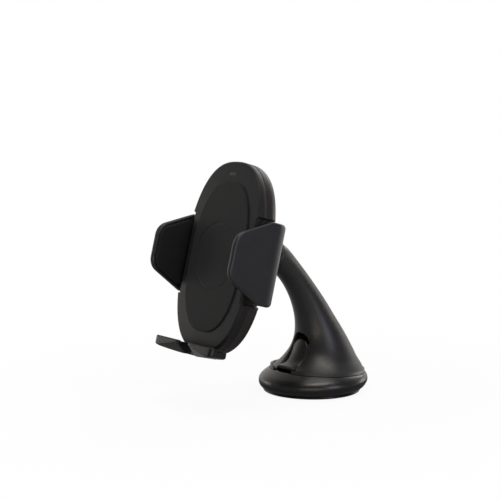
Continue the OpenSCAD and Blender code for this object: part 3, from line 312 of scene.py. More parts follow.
def neck_sections():
    """The neck's sections: the bell's lip, a smooth curve up to the ball, a rounded end and its flat face."""
    rows = smooth_rows(NECK_ROWS, 15)
    rows = np.vstack([rows[:1] + BELL_LIP, rows[1:]])
    end = rows[-1]
    turn = np.radians(np.arange(1, 9) / 8 * 90)
    lean = math.radians(NECK_LEAN)
    edge = np.stack([end[0] - NECK_EDGE * np.sin(turn) * math.sin(lean),
                     end[1] + NECK_EDGE * np.sin(turn) * math.cos(lean),
                     end[2] - NECK_EDGE * (1 - np.cos(turn)), np.full(8, NECK_LEAN)], -1)
    face = np.repeat(edge[-1:], len(NECK_FACE_RADII), 0)
    face[:, 2] = NECK_FACE_RADII
    return np.vstack([rows, edge, face])


def slot_distance(p):
    """Distance from the lever slot's arched outline in the front view, negative inside it. Points on the
    bell's rear count as far away."""
    high = SLOT_TOP - SLOT_HALF_WIDTH
    arch = np.hypot(p[..., 0], np.maximum(p[..., 2] - high, 0)) - SLOT_HALF_WIDTH
    return np.where(p[..., 1] < SLOT_BACK, arch, SLOT_FAR)


def neck_skin():
    """Circles through the neck's sections. Cells inside the arched slot are taken out, and the points along
    the cut are moved onto the arch by Newton steps in angle and section, so the slot has a clean edge."""
    rows = neck_sections()
    index = np.arange(len(rows), dtype=float)

    def surface(a, t):
        """The point at the angle a round the section t, which may lie between two rows."""
        return section_points(*(np.interp(t, index, rows[:, k]) for k in range(4)), a)

    t, a = np.meshgrid(index, full_turn(NECK_COLUMNS), indexing="ij")
    points = surface(a, t).reshape(-1, 3)
    quads = grid_quads(len(rows), NECK_COLUMNS)
    middle = points[quads].mean(1)
    gone = (slot_distance(middle) < 0) & (middle[:, 2] < SLOT_TOP + 1)
    border = np.intersect1d(quads[gone], quads[~gone])
    a, t = a.ravel()[border], t.ravel()[border]
    step, on_lip = 1e-4, t < 2.5
    for _ in range(12):
        here = slot_distance(surface(a, t))
        by_a = (slot_distance(surface(a + step, t)) - here) / step
        by_t = np.where(on_lip, 0, (slot_distance(surface(a, t + step)) - here) / step)
        steep = np.maximum((by_a / NECK_SCALE) ** 2 + by_t ** 2, 1e-6)
        a = a - np.clip(here * by_a / NECK_SCALE ** 2 / steep, -0.04, 0.04)
        t = t - np.clip(here * by_t / steep, -0.7, 0.7)
    points[border] = surface(a, t)
    walled(new_piece("neck_skin", points, quads[~gone], "base", "gloss", ("arm",), sharp=50), NECK_WALL)


def base_ring_skin():
    """Circles up the base ring's outside, over its upper lip, down the inside and round its lower lip."""
    outer = smooth_rows(RING_ROWS, 6)
    over, under = outer[-1] + RING_OVER, outer[0] + RING_UNDER
    outer = outer[:-2]
    rows = np.vstack([outer, over, outer[::-6] - (0, 0, RING_WALL, 0), under])
    rows[:, 3] *= -1
    points = section_points(*(rows[:, k][:, None] for k in range(4)), full_turn(RING_COLUMNS)[None, :])
    new_piece("base_ring_skin", points, grid_quads(len(rows), RING_COLUMNS, wrap_rows=True), "base", "gloss",
              ("base_ring",), sharp=55)


def suction_cup_skin():
    """The cup's profile turned about the Z axis, on no body."""
    a = full_turn(CUP_COLUMNS)[None, :]
    r, z = CUP_PROFILE[:, :1], CUP_PROFILE[:, 1:]
    points = np.stack([r * np.cos(a), r * np.sin(a), z + 0 * a], -1)
    cup = new_piece("suction_cup_skin", points, grid_quads(len(CUP_PROFILE), CUP_COLUMNS), None, "gel",
                    ("suction_cup",), sharp=60)
    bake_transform(cup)


def superellipse(hw, hh, angles):
    """Points of a superellipse, between an ellipse and its box, with the given half width and half height."""
    c, s = np.cos(angles), np.sin(angles)
    power = 2 / OUTLINE_POWER
    return np.stack([hw * np.sign(c) * np.abs(c) ** power, hh * np.sign(s) * np.abs(s) ** power], -1)


def outline_ring(inset, y):
    """One outline of the head at the depth y: a superellipse whose sides are cut in at the waist, with
    softened corners there. The points run from the upper right corner of the waist over the top."""
    hw, hh = HEAD_HALF_WIDTH - inset, HEAD_HALF_HEIGHT - inset
    corner = math.asin(min(1.0, (WAIST_HALF_HEIGHT / hh) ** (OUTLINE_POWER / 2)))
    top = superellipse(hw, hh, np.linspace(corner, math.pi - corner, 61))
    wide, narrow = top[0, 0], min(WAIST_HALF_WIDTH - inset, top[0, 0])
    soft = min(WAIST_SOFTNESS, 0.6 * (wide - narrow))
    turn = np.radians(np.linspace(90, 0, 6))
    end = np.stack([wide - soft + soft * np.cos(turn), WAIST_HALF_HEIGHT + soft - soft * np.sin(turn)], -1)
    top = np.vstack([end, top[1:-1], end[::-1] * (-1, 1)])
    side_z = np.linspace(WAIST_HALF_HEIGHT, -WAIST_HALF_HEIGHT, 25)
    left = np.stack([np.full(25, -narrow), side_z], -1)
    ring = np.vstack([top, left, -top, -left])
    return np.stack([ring[:, 0], np.full(len(ring), y), ring[:, 1]], -1)


def head_shell(name, levels, slot, node):
    """Stacked outlines of the head, given by inset and depth from the rim to the face, and the flat face."""
    rings = np.stack([outline_ring(*level) for level in levels])
    new_piece(name, head_place(rings), grid_faces(*rings.shape[:2], last=True), "head", slot, (node,))


def quarter_round(radius, steps):
    """Inset and depth of a quarter round, from its side to its face."""
    a = np.radians(np.linspace(0, 90, steps + 1))
    return np.stack([radius * (1 - np.cos(a)), radius * np.sin(a)], -1)


def back_shell_skin():
    """The rear shell, from the seam back to its flat face, with a broad quarter round between."""
    straight = HEAD_DEPTH - HEAD_BACK_RADIUS
    levels = [(inset, SEAM + gap) for inset, gap in SEAM_LIP]
    levels += [(0.0, y) for y in np.linspace(SEAM + 0.9, straight, 3)[:-1]]
    levels += [(inset, straight + d) for inset, d in quarter_round(HEAD_BACK_RADIUS, 16)]
    head_shell("back_shell_skin", levels, "shell", "back_shell")


def front_cover_skin():
    """The front cover, from the seam forward to its flat face, with a small quarter round between."""
    straight = COVER_FRONT + HEAD_FRONT_RADIUS
    levels = [(inset, SEAM - gap) for inset, gap in SEAM_LIP] + [(0.0, straight + 0.6)]
    levels += [(inset, straight - d) for inset, d in quarter_round(HEAD_FRONT_RADIUS, 8)]
    head_shell("front_cover_skin", levels, "matte", "front_cover")


def front_pad_skin():
    """A thin pad with a rounded rim and a shallow ring groove, whose section is a bell curve: rings of the
    pad's outline, shrinking to its middle, each at its own depth."""
    share = np.concatenate([[1.0, 1.0, 0.997, 0.985, 0.965], np.linspace(0.95, 0.02, 60)])
    depth = np.concatenate([[0.9, 0.35, 0.12, 0.02, 0.0], np.zeros(60)])
    rings = []
    for k, y in zip(share, depth):
        flat = superellipse(PAD_HALF_WIDTH * k, PAD_HALF_HEIGHT * k, full_turn(PAD_COLUMNS))
        rings.append(np.stack([flat[:, 0], np.full(PAD_COLUMNS, y), flat[:, 1]], -1))
    rings = np.stack(rings)
    radius = np.hypot(rings[..., 0], rings[..., 2])
    groove = PAD_GROOVE_DEPTH * np.exp(-((radius - PAD_GROOVE_RADIUS) / PAD_GROOVE_WIDTH) ** 2)
    rings[..., 1] += np.where(rings[..., 1] < 0.05, groove, 0)
    new_piece("front_pad_skin", head_place(rings), grid_faces(len(share), PAD_COLUMNS, last=True), "head",
              "silicone", ("front_pad",), sharp=60)


def plate_mesh(outline, spine, thickness, edge, place, edge_steps, fill_steps):
    """A plate with a rounded rim: the closed outline is drawn in step by step for the rim, then filled with
    rings that shrink onto a spine segment. place() takes (along, across, depth) arrays to 3-D points."""
    tangent = np.roll(outline, -1, 0) - np.roll(outline, 1, 0)
    tangent /= np.linalg.norm(tangent, axis=1)[:, None]
    inward = np.stack([-tangent[:, 1], tangent[:, 0]], -1)
    centre = np.stack([np.clip(outline[:, 0], *spine), np.zeros(len(outline))], -1)
    inward *= np.sign(((centre - outline) * inward).sum(1))[:, None]
    rings, depths = [], []
    for a in np.radians(np.linspace(0, 90, edge_steps + 1)):
        rings.append(outline + inward * edge * (1 - math.cos(a)))
        depths.append(edge * (1 - math.sin(a)))
    rim = rings[-1]
    hub = np.stack([np.clip(rim[:, 0], *spine), np.zeros(len(rim))], -1)
    for k in range(1, fill_steps + 1):
        rings.append(rim + (hub - rim) * k / fill_steps)
        depths.append(0.0)
    face = np.stack(rings)
    depth = np.array(depths)[:, None] * np.ones(len(outline))
    front = np.concatenate([face, depth[..., None]], -1)[::-1]
    back = np.concatenate([face, (thickness - depth)[..., None]], -1)
    solid = np.concatenate([front, back])
    return place(solid[..., 0], solid[..., 1], solid[..., 2]), grid_faces(*solid.shape[:2])


def rounded_outline(corners, radii, steps=10, fill=1.2):
    """Closed outline of straight runs and true arcs at its corners, with points about a fill apart on the
    runs."""
    corners = np.asarray(corners, float)
    arcs = []
    for k, r in enumerate(radii):
        b = corners[k]
        u = corners[k - 1] - b
        w = corners[(k + 1) % len(corners)] - b
        u, w = u / np.linalg.norm(u), w / np.linalg.norm(w)
        half = math.acos(float(np.clip(u @ w, -1, 1))) / 2
        start, stop = b + u * r / math.tan(half), b + w * r / math.tan(half)
        centre = b + (u + w) / np.linalg.norm(u + w) * r / math.sin(half)
        a0, a1 = (math.atan2(*(p - centre)[::-1]) for p in (start, stop))
        sweep = (a1 - a0 + math.pi) % (2 * math.pi) - math.pi
        a = a0 + sweep * np.linspace(0, 1, steps + 1)
        arcs.append(centre + r * np.stack([np.cos(a), np.sin(a)], -1))
    outline = []
    for k, arc in enumerate(arcs):
        outline.append(arc)
        gap = arcs[(k + 1) % len(arcs)][0] - arc[-1]
        n = int(np.linalg.norm(gap) / fill)
        if n > 1:
            outline.append(arc[-1] + gap * (np.arange(1, n) / n)[:, None])
    return np.vstack(outline)


def mirrored_outline(upper, radii, steps=10, fill=1.2):
    """A rounded outline whose lower half mirrors the given upper corners and their radii."""
    return rounded_outline(upper + [(a, -b) for a, b in upper[::-1]], radii + radii[::-1], steps, fill)


def prism_piece(name, outline, low, high, place, body, slot, replaces, edge):
    """A flat outline carried straight from low to high, with its edges rounded."""
    outline = np.asarray(outline, float)
    n = len(outline)
    points = np.concatenate([place(outline[:, 0], outline[:, 1], np.full(n, level)) for level in (low, high)])
    faces = grid_faces(2, n, first=True) + [list(range(2 * n - 1, n - 1, -1))]
    bevelled(new_piece(name, points, faces, body, slot, replaces, sharp=35), edge, 2)


def jaw_place(side):
    """Places (run, height, depth) on a jaw: straight along its side wall, round the bend, then along its
    leg."""
    def place(run, height, depth):
        """Where the jaw's plate comes to lie in the row's frame."""
        bend = np.clip((run - SIDE_RUN) / JAW_CORNER, 0, math.pi / 2)
        beyond = np.maximum(run - SIDE_RUN - BEND_RUN, 0)
        radius = JAW_CORNER - depth
        x = JAW_OUT - JAW_CORNER + radius * np.cos(bend) - beyond
        y = np.where(run < SIDE_RUN, run - JAW_REACH, JAW_BACK - JAW_CORNER + radius * np.sin(bend))
        return head_place(np.stack([side * x, y, height], -1))
    return place


def jaw_skin(jaw, side, grip):
    """The jaw's plate, unrolled: a slanted front, a full-height middle that tapers round the bend, and a leg
    with rounded corners."""
    slope_run = JAW_SLOPE_END + JAW_REACH
    end = SIDE_RUN + BEND_RUN + JAW_OUT - JAW_CORNER - JAW_LEG_END
    outline = mirrored_outline([
        (0, JAW_FRONT_HALF_HEIGHT), (slope_run, JAW_HALF_HEIGHT), (SIDE_RUN + JAW_TAPER, JAW_HALF_HEIGHT),
        (SIDE_RUN + BEND_RUN, JAW_LEG_HALF_HEIGHT), (end, JAW_LEG_HALF_HEIGHT)], JAW_RADII)
    points, faces = plate_mesh(outline, (JAW_SPINE, end - JAW_SPINE), JAW_WALL, JAW_EDGE, jaw_place(side),
                               edge_steps=7, fill_steps=10)
    new_piece(jaw + "_skin", points, faces, grip, "jaw", (), sharp=60)


def jaw_pad_skin(pad, side, grip):
    """The pad on the jaw's inner face: a thin plate with a soft rim, standing out of the wall."""
    slope = (JAW_HALF_HEIGHT - JAW_FRONT_HALF_HEIGHT) / (JAW_SLOPE_END + JAW_REACH)
    border, back = JAW_PAD_BORDER, JAW_PAD_BACK + JAW_REACH
    drop = border * math.hypot(1, slope)
    upper = [(run, JAW_FRONT_HALF_HEIGHT + run * slope - drop) for run in (border, back)]
    outline = mirrored_outline(upper, JAW_PAD_RADII)

    def place(run, height, depth):
        """Stands the pad upright along the side wall."""
        return head_place(np.stack([side * (JAW_PAD_INNER + depth), run - JAW_REACH, height], -1))

    points, faces = plate_mesh(outline, (8.0, back - 6.0), JAW_PAD_THICKNESS, 0.5, place, edge_steps=3,
                               fill_steps=8)
    new_piece(pad + "_skin", points, faces, grip, "silicone", (pad,), sharp=60)


def rack_outline(x0, x1, flip):
    """A rack's bar with its teeth towards the pinion, about its pitch line."""
    pitch = math.pi * TOOTH_MODULE
    half, lean = pitch / 4 - TOOTH_SLACK / 2, math.tan(math.radians(TOOTH_ANGLE))
    count = np.arange(math.ceil((x0 + half) / pitch - 0.5), math.floor((x1 - half) / pitch - 0.5) + 1)
    middle = (count + 0.5)[:, None] * pitch
    foot, tip = half + TOOTH_BELOW * lean, half - TOOTH_ABOVE * lean
    across = middle + np.array([-foot, -tip, tip, foot])
    up = np.tile([TOOTH_BELOW, -TOOTH_ABOVE, -TOOTH_ABOVE, TOOTH_BELOW], (len(count), 1))
    teeth = np.stack([across.ravel(), up.ravel()], -1)
    outline = np.vstack([[[x0, RACK_BAR], [x0, TOOTH_BELOW]], teeth, [[x1, TOOTH_BELOW], [x1, RACK_BAR]]])
    outline[:, 1] *= flip
    return outline


def jaw_pieces(jaw, side, grip):
    """A jaw with its pad and its rack, which stand on the body grip; side is -1 for left and 1 for right."""
    jaw_skin(jaw, side, grip)
    jaw_pad_skin(jaw + "_pad", side, grip)
    reach = (-RACK_LONG, RACK_SHORT) if side < 0 else (-RACK_SHORT, RACK_LONG)

    def place(x, z, y):
        """Puts the rack's pitch line beside the pinion."""
        return head_prism_place(x, PINION_Z - side * PITCH_RADIUS + z, y)

    prism_piece(jaw + "_rack", rack_outline(*reach, -side), RACK_FRONT, RACK_BACK, place, grip, "jaw", (jaw,),
                0.12)


def hub_outline():
    """The lever's side outline about its pin: a large half disc above, a smaller one below, and the cam's
    circle."""
    turn = np.radians(np.concatenate([np.linspace(HUB_TURN, 180 + HUB_TURN, 49),
                                      np.linspace(181 + HUB_TURN, 359 + HUB_TURN, 60)]))
    large = turn <= math.radians(180 + HUB_TURN) + 1e-9
    apart = turn - math.radians(CAM_ANGLE)
    cam = CAM_OFFSET * np.cos(apart) + np.sqrt(CAM_RADIUS ** 2 - (CAM_OFFSET * np.sin(apart)) ** 2)
    radius = np.maximum(np.where(large, HUB_RADIUS, HUB_LOW_RADIUS), cam)
    return np.stack([radius * np.cos(turn), PIN_Z + radius * np.sin(turn)], -1)


def lever_tongue():
    """A crowned plate bent along the bell's front, wider and flatter at its tip. The crown grows with the
    square of the distance from the middle."""
    front = smooth_rows(TONGUE_LINE, 12)
    along = np.concatenate([[0], np.cumsum(np.linalg.norm(np.diff(front, axis=0), axis=1))])
    length = along[-1]
    slope = np.gradient(front, along, axis=0)
    slope /= np.linalg.norm(slope, axis=1)[:, None]
    hw, tip = TONGUE_HALF_WIDTH, TONGUE_TIP_HALF_WIDTH
    outline = mirrored_outline([(1.9, hw), (length - 9.0, hw - 0.3), (length - 2.5, tip), (length, tip)],
                               [6.6, 12, 3, 2.2], 14, 0.8)

    def place(run, across, depth):
        """Bends the plate along the front line and crowns its outer face."""
        y, z = np.interp(run, along, front[:, 0]), np.interp(run, along, front[:, 1])
        ty, tz = np.interp(run, along, slope[:, 0]), np.interp(run, along, slope[:, 1])
        size = np.hypot(ty, tz)
        share = np.clip((run - length + TONGUE_TIP_RUN) / TONGUE_TIP_RUN, 0, 1)
        crown = TONGUE_CROWN * (across / hw) ** 2 * (1 - 0.75 * share)
        depth = depth * (1 - 0.2 * share) + np.where(depth < 1.5, crown, 0)
        return np.stack([across, y - depth * tz / size, z + depth * ty / size], -1)

    points, faces = plate_mesh(outline, (8.0, length - 6.5), TONGUE_THICKNESS, 0.8, place,
                               edge_steps=5, fill_steps=14)
    new_piece("lever_tongue", points, faces, "lever", "gloss", (), sharp=60)


def lever_cheeks():
    """The two cheeks beside the lever's post, which carry the hub and the cam."""
    def place(y, z, x):
        """Stands the side outline at its own x."""
        return np.stack([x, y, z], -1)

    side = hub_outline()
    prism_piece("lever_cheek_left", side, -CHEEK_OUTER, -CHEEK_INNER, place, "lever", "gloss",
                ("suction_lever",), 0.3)
    prism_piece("lever_cheek_right", side, CHEEK_INNER, CHEEK_OUTER, place, "lever", "gloss", (), 0.3)


def claw_section(x):
    """A claw's side outline at x: the lip, the front, the sloping cut below it, the lowest line and the
    seat."""
    low = FOOT_ARC - FOOT_LOW - math.sqrt(FOOT_ARC ** 2 - x ** 2)
    cut = max(-CLAW_CUT_TOP - CLAW_CUT_SIDE_SLOPE * (x - CLAW_GAP), low + 0.7)
    turn = -FOOT_REACH + (cut - low) / CLAW_CUT_BACK_SLOPE
    corners = [(-FOOT_REACH, -FOOT_TIP_TOP), (-FOOT_REACH, cut), (turn, low), (-FOOT_BACK, low),
               (-FOOT_BACK, -FOOT_SEAT), (FOOT_LIP - FOOT_REACH, -FOOT_SEAT),
               (FOOT_LIP - FOOT_REACH, -FOOT_TIP_TOP)]
    return rounded_outline(corners, [0.7, 0.6, 0.8, 0.5, 0.4, 0.3, 0.6], 6, 1000.0)


def foot_claw(name, side, replaces=()):
    """Side sections from the claw's inner end to its outer one. Near each end they are drawn towards the
    seat's back edge along a quarter round, which makes the ends round."""
    sweep = np.radians(np.linspace(0, 90, 13))
    xs = np.concatenate([CLAW_GAP + CLAW_INNER_ROUND * (1 - np.cos(sweep)), np.linspace(9.5, 25.0, 16),
                         FOOT_HALF_WIDTH - CLAW_OUTER_ROUND * (1 - np.sin(sweep))])
    draw = np.concatenate([CLAW_INNER_DRAW * (1 - np.sin(sweep)), np.zeros(16),
                           CLAW_OUTER_DRAW * (1 - np.cos(sweep))])
    anchor = np.array([-FOOT_BACK - 0.3, -FOOT_SEAT])
    rings = []
    for x, k in zip(xs, draw):
        flat = claw_section(x)
        flat = flat + (anchor - flat) * k
        rings.append(np.stack([np.full(len(flat), side * x), flat[:, 0], flat[:, 1]], -1))
    rings = np.stack(rings)
    faces = grid_faces(*rings.shape[:2], first=True, last=True)
    new_piece(name, head_place(rings), faces, "foot", "foot", replaces, sharp=50)


def foot_bars():
    """The bar that joins the claws, the root below the head and the stem that slides in the head's guides."""
    for name, (hw, top, bottom, front, back, edge) in FOOT_BARS.items():
        outline = [(-hw, top), (hw, top), (hw, bottom), (-hw, bottom)]
        prism_piece(name, outline, front, back, head_prism_place, "foot", "foot", (), edge)


def collar_skin():
    """The collar nut as a turned profile about the ball's axis; grooves of a small circle's arc run along its
    side and fade out towards the rounded rear rim."""
    front, back, outer = COLLAR_FRONT, COLLAR_BACK, COLLAR_RADIUS
    profile = [(front, 12.6), (front, outer - 0.5), (front + 0.15, outer - 0.15), (front + 0.5, outer)]
    profile += [(y, outer) for y in np.linspace(front + 1.2, back - 3.2, 8)]
    turn = np.radians(np.linspace(0, 90, 11))
    profile += list(zip(back - COLLAR_ROUND + COLLAR_ROUND * np.sin(turn),
                        outer - COLLAR_ROUND + COLLAR_ROUND * np.cos(turn)))
    profile += [(back, 11.0), (back, 9.2), (back - 0.06, 8.75), (back - 0.3, 8.45), (back - 1.2, 7.85),
                (back - 1.6, 8.4), (back - 1.6, 12.6)]
    y, r = np.array(profile).T
    columns = COLLAR_GROOVES * COLLAR_STEPS
    a = full_turn(columns)
    step = 2 * math.pi / COLLAR_GROOVES
    arc = np.abs((a + step / 2) % step - step / 2) * outer
    groove = np.sqrt(np.maximum(GROOVE_RADIUS ** 2 - arc ** 2, 0.0)) - GROOVE_OFFSET
    share = np.clip((r - 13.2) / 1.4, 0, 1) * (y < back - 1.0)
    radius = r[:, None] - np.maximum(groove, 0)[None, :] * share[:, None]
    points = np.stack([radius * np.cos(a), y[:, None] + 0 * a, BALL_IN_HEAD[2] + radius * np.sin(a)], -1)
    new_piece("collar_skin", head_place(points), grid_quads(len(y), columns, wrap_rows=True),
              NODES["collar_nut"]["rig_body"], "matte", ("collar_nut",), sharp=35)


def button_spring_coil():
    """The button's spring, copied from its CAD node; its front and rear ends are worked out but not used."""
    coil = merged_copy("button_spring", "button_spring_coil", "steel", 60.0)
    points = np.empty(len(coil.data.vertices) * 3)
    coil.data.vertices.foreach_get("co", points)
    points = points.reshape(-1, 3)
    rearward = head_place((0.0, 1.0, 0.0)) - head_place((0.0, 0.0, 0.0))
    along, middle = points @ rearward, points.mean(0)
    front, rear = (middle + rearward * (edge - middle @ rearward) for edge in (along.min(), along.max()))
    tuple(front)
    tuple(rear)
    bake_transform(coil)


def add_node(tree, kind, values=None):
    """A new shader node of a kind, with plain values on the named inputs."""
    node = tree.nodes.new("ShaderNode" + kind)
    for label, value in (values or {}).items():
        node.inputs[label].default_value = value
    return node


def math_node(tree, operation, a, b):
    """The result of a maths node whose two inputs are plain numbers or the outputs of other nodes."""
    node = add_node(tree, "Math")
    node.operation = operation
    for socket, value in zip(node.inputs, (a, b)):
        if isinstance(value, (int, float)):
            socket.default_value = value
        else:
            tree.links.new(value, socket)
    return node.outputs[0]


def ramp_node(tree, fac, stops):
    """The colour of a ramp between two stops, each a position and a colour, driven by an output."""
    node = add_node(tree, "ValToRGB")
    for element, (position, colour) in zip(node.color_ramp.elements, stops):
        element.position = position
        element.color = (*colour, 1)
    tree.links.new(fac, node.inputs["Fac"])
    return node.outputs["Color"]


def range_node(tree, value, start, stop, low, high):
    """A smooth step from low to high as a value goes from start to stop."""
    node = add_node(tree, "MapRange", {"From Min": start, "From Max": stop, "To Min": low, "To Max": high})
    node.interpolation_type = "SMOOTHSTEP"
    tree.links.new(value, node.inputs["Value"])
    return node.outputs["Result"]


def mix_node(tree, fac, first, second):
    """Two shaders mixed by an output: the first at 0, the second at 1."""
    node = add_node(tree, "MixShader")
    for socket, output in zip(node.inputs, (fac, first, second)):
        tree.links.new(output, socket)
    return node.outputs[0]


def toward_node(tree, vector, direction):
    """The dot product of a vector output with a plain direction."""
    node = add_node(tree, "VectorMath")
    node.operation = "DOT_PRODUCT"
    node.inputs[1].default_value = direction
    tree.links.new(vector, node.inputs[0])
    return node.outputs["Value"]


def moulded_group():
    """Moulded plastic: fine grain, soft waviness, and the faint marks of handling that change the gloss."""
    group = bpy.data.node_groups.new("moulded_surface", "ShaderNodeTree")
    for label, value in (("Grain Scale", 2500.0), ("Grain Depth", 0.3), ("Wave Depth", 0.2),
                         ("Roughness", 0.35), ("Marks", 0.08)):
        socket = group.interface.new_socket(label, in_out="INPUT", socket_type="NodeSocketFloat")
        socket.default_value = value
    for label in ("Height", "Roughness", "Tone"):
        group.interface.new_socket(label, in_out="OUTPUT", socket_type="NodeSocketFloat")
    enter, leave = group.nodes.new("NodeGroupInput"), group.nodes.new("NodeGroupOutput")
    place = add_node(group, "TexCoord").outputs["Object"]
    grain = add_node(group, "TexNoise", {"Detail": 3.0, "Roughness": 0.6})
    wave = add_node(group, "TexNoise", {"Scale": 90.0, "Detail": 2.0})
    marks = add_node(group, "TexNoise", {"Scale": 60.0, "Detail": 8.0, "Roughness": 0.7})
    stretch = add_node(group, "Mapping", {"Scale": (9.0, 9.0, 1.2), "Rotation": (0.5, 0.3, 0.8)})
    streak = add_node(group, "TexNoise", {"Scale": 120.0, "Detail": 5.0})
    for node in (grain, wave, marks, stretch):
        group.links.new(place, node.inputs["Vector"])
    group.links.new(stretch.outputs["Vector"], streak.inputs["Vector"])
    group.links.new(enter.outputs["Grain Scale"], grain.inputs["Scale"])

    fine = math_node(group, "MULTIPLY", grain.outputs[0], enter.outputs["Grain Depth"])
    broad = math_node(group, "MULTIPLY", wave.outputs[0], enter.outputs["Wave Depth"])
    height = math_node(group, "ADD", fine, broad)
    streaks = math_node(group, "MULTIPLY", streak.outputs[0], 0.5)
    worn = math_node(group, "SUBTRACT", math_node(group, "ADD", marks.outputs[0], streaks), 0.75)
    rough = math_node(group, "ADD", enter.outputs["Roughness"],
                      math_node(group, "MULTIPLY", worn, enter.outputs["Marks"]))
    tone = math_node(group, "ADD", marks.outputs[0], math_node(group, "MULTIPLY", grain.outputs[0], 0.4))
    for label, value in (("Height", height), ("Roughness", rough), ("Tone", tone)):
        group.links.new(value, leave.inputs[label])
    return group


def new_material(name, values):
    """A material, its tree and its main shader, with plain values on the shader's named inputs."""
    material = bpy.data.materials.new(name)
    material.use_nodes = True
    tree = material.node_tree
    shader = tree.nodes["Principled BSDF"]
    for label, value in values.items():
        shader.inputs[label].default_value = value
    return material, tree, shader


def add_relief(tree, shader, height, distance):
    """Gives a shader a bump of a height output, over a distance in metres."""
    relief = add_node(tree, "Bump", {"Strength": 1.0, "Distance": distance})
    tree.links.new(height, relief.inputs["Height"])
    tree.links.new(relief.outputs["Normal"], shader.inputs["Normal"])


def plastic(group, name, dark, light, roughness, grain_scale, grain, wave, marks, bump, level=0.5,
            sheen=0.0):
    """Plastic or rubber: tone and roughness vary with the moulded surface, and its grain feeds the bump."""
    values = {"Specular IOR Level": level}
    if sheen:
        values.update({"Sheen Weight": sheen, "Sheen Roughness": 0.5})
    material, tree, shader = new_material(name, values)
    skin = tree.nodes.new("ShaderNodeGroup")
    skin.node_tree = group
    for label, value in (("Grain Scale", grain_scale), ("Grain Depth", grain), ("Wave Depth", wave),
                         ("Roughness", roughness), ("Marks", marks)):
        skin.inputs[label].default_value = value
    tone = ramp_node(tree, skin.outputs["Tone"], ((0.45, dark), (0.95, light)))
    tree.links.new(tone, shader.inputs["Base Color"])
    tree.links.new(skin.outputs["Roughness"], shader.inputs["Roughness"])
    add_relief(tree, shader, skin.outputs["Height"], bump)
    return material


def metal(name, colour, roughness, brushed, spread=0.1):
    """Metal with fine turned or drawn lines in its gloss."""
    material, tree, shader = new_material(name, {"Metallic": 1.0, "Base Color": (*colour, 1)})
    place = add_node(tree, "TexCoord")
    stretch = add_node(tree, "Mapping", {"Scale": brushed})
    lines = add_node(tree, "TexNoise", {"Scale": 400.0, "Detail": 6.0})
    tree.links.new(place.outputs["Object"], stretch.inputs["Vector"])
    tree.links.new(stretch.outputs["Vector"], lines.inputs["Vector"])
    varied = math_node(tree, "MULTIPLY", lines.outputs[0], spread)
    tree.links.new(math_node(tree, "ADD", roughness - spread / 2, varied), shader.inputs["Roughness"])
    add_relief(tree, shader, lines.outputs[0], 0.00002)
    return material


def lens_material():
    """Frosted light-guide plastic: milky, a little see-through, with a soft haze in its gloss and tone."""
    material, tree, shader = new_material("light_pipe_plastic", {"IOR": 1.49, "Transmission Weight": 0.1})
    place = add_node(tree, "TexCoord")
    haze = add_node(tree, "TexNoise", {"Scale": 500.0})
    tree.links.new(place.outputs["Object"], haze.inputs["Vector"])
    tone = ramp_node(tree, haze.outputs[0], ((0.0, (0.050, 0.052, 0.056)), (1.0, (0.075, 0.078, 0.083))))
    tree.links.new(tone, shader.inputs["Base Color"])
    rough = math_node(tree, "ADD", 0.45, math_node(tree, "MULTIPLY", haze.outputs[0], 0.1))
    tree.links.new(rough, shader.inputs["Roughness"])
    return material


# Plastics and rubbers: name, dark and light tone, roughness, grain scale, depth of grain, depth of waves,
# spread of handling marks, bump in metres, specular level and sheen
PLASTICS = {
    "gloss": ("gloss_black_plastic", (0.0104, 0.0098, 0.0101), (0.0150, 0.0142, 0.0144),
              0.38, 3000, 0.2, 0.6, 0.12, 0.000006, 0.52),
    "rim": ("polished_rim_plastic", (0.0072, 0.0064, 0.0061), (0.0108, 0.0098, 0.0094),
            0.31, 3000, 0.1, 0.25, 0.10, 0.000002, 0.62),
    "shell": ("satin_brown_black_plastic", (0.0130, 0.0112, 0.0100), (0.0190, 0.0166, 0.0150),
              0.42, 3200, 0.5, 0.4, 0.10, 0.00001, 0.28),
    "matte": ("fine_matte_black_plastic", (0.0058, 0.0056, 0.0060), (0.0096, 0.0093, 0.0098),
              0.50, 3400, 0.8, 0.2, 0.10, 0.000012, 0.3),
    "jaw": ("grained_jaw_plastic", (0.0050, 0.0038, 0.0062), (0.0082, 0.0065, 0.0096),
            0.35, 2600, 1.0, 0.15, 0.08, 0.000014, 0.62),
    "foot": ("gloss_foot_plastic", (0.0042, 0.0041, 0.0043), (0.0068, 0.0066, 0.0068),
             0.26, 3000, 0.25, 0.5, 0.10, 0.000006, 0.4),
    "inner": ("inner_plastic", (0.012, 0.012, 0.0125), (0.018, 0.018, 0.0185),
              0.55, 2600, 0.8, 0.2, 0.1, 0.00002, 0.3),
    "silicone": ("matte_silicone", (0.0052, 0.0052, 0.0055), (0.0086, 0.0086, 0.0090),
                 0.70, 4200, 0.7, 0.2, 0.12, 0.000015, 0.3, 0.04),
    "gel": ("suction_gel", (0.0040, 0.0040, 0.0043), (0.0066, 0.0066, 0.0069),
            0.30, 1800, 0.3, 0.5, 0.12, 0.000012, 0.4),
    "pom": ("natural_acetal", (0.66, 0.65, 0.61), (0.74, 0.73, 0.69), 0.42, 2600, 0.4, 0.3, 0.08, 0.00002),
    "ferrite": ("ferrite", (0.028, 0.028, 0.030), (0.045, 0.045, 0.048), 0.6, 1500, 0.9, 0.2, 0.1, 0.00003),
    "board": ("solder_mask", (0.010, 0.09, 0.045), (0.018, 0.13, 0.065), 0.3, 1200, 0.4, 0.2, 0.1, 0.00001)}

# Metals: name, colour, roughness and how the lines are stretched along each axis
METALS = {
    "steel": ("bright_steel", (0.60, 0.61, 0.63), 0.28, (1, 1, 12)),
    "zinc": ("satin_zinc", (0.62, 0.63, 0.65), 0.34, (3, 3, 3)),
    "copper": ("enamelled_copper", (0.72, 0.33, 0.14), 0.30, (8, 1, 8))}


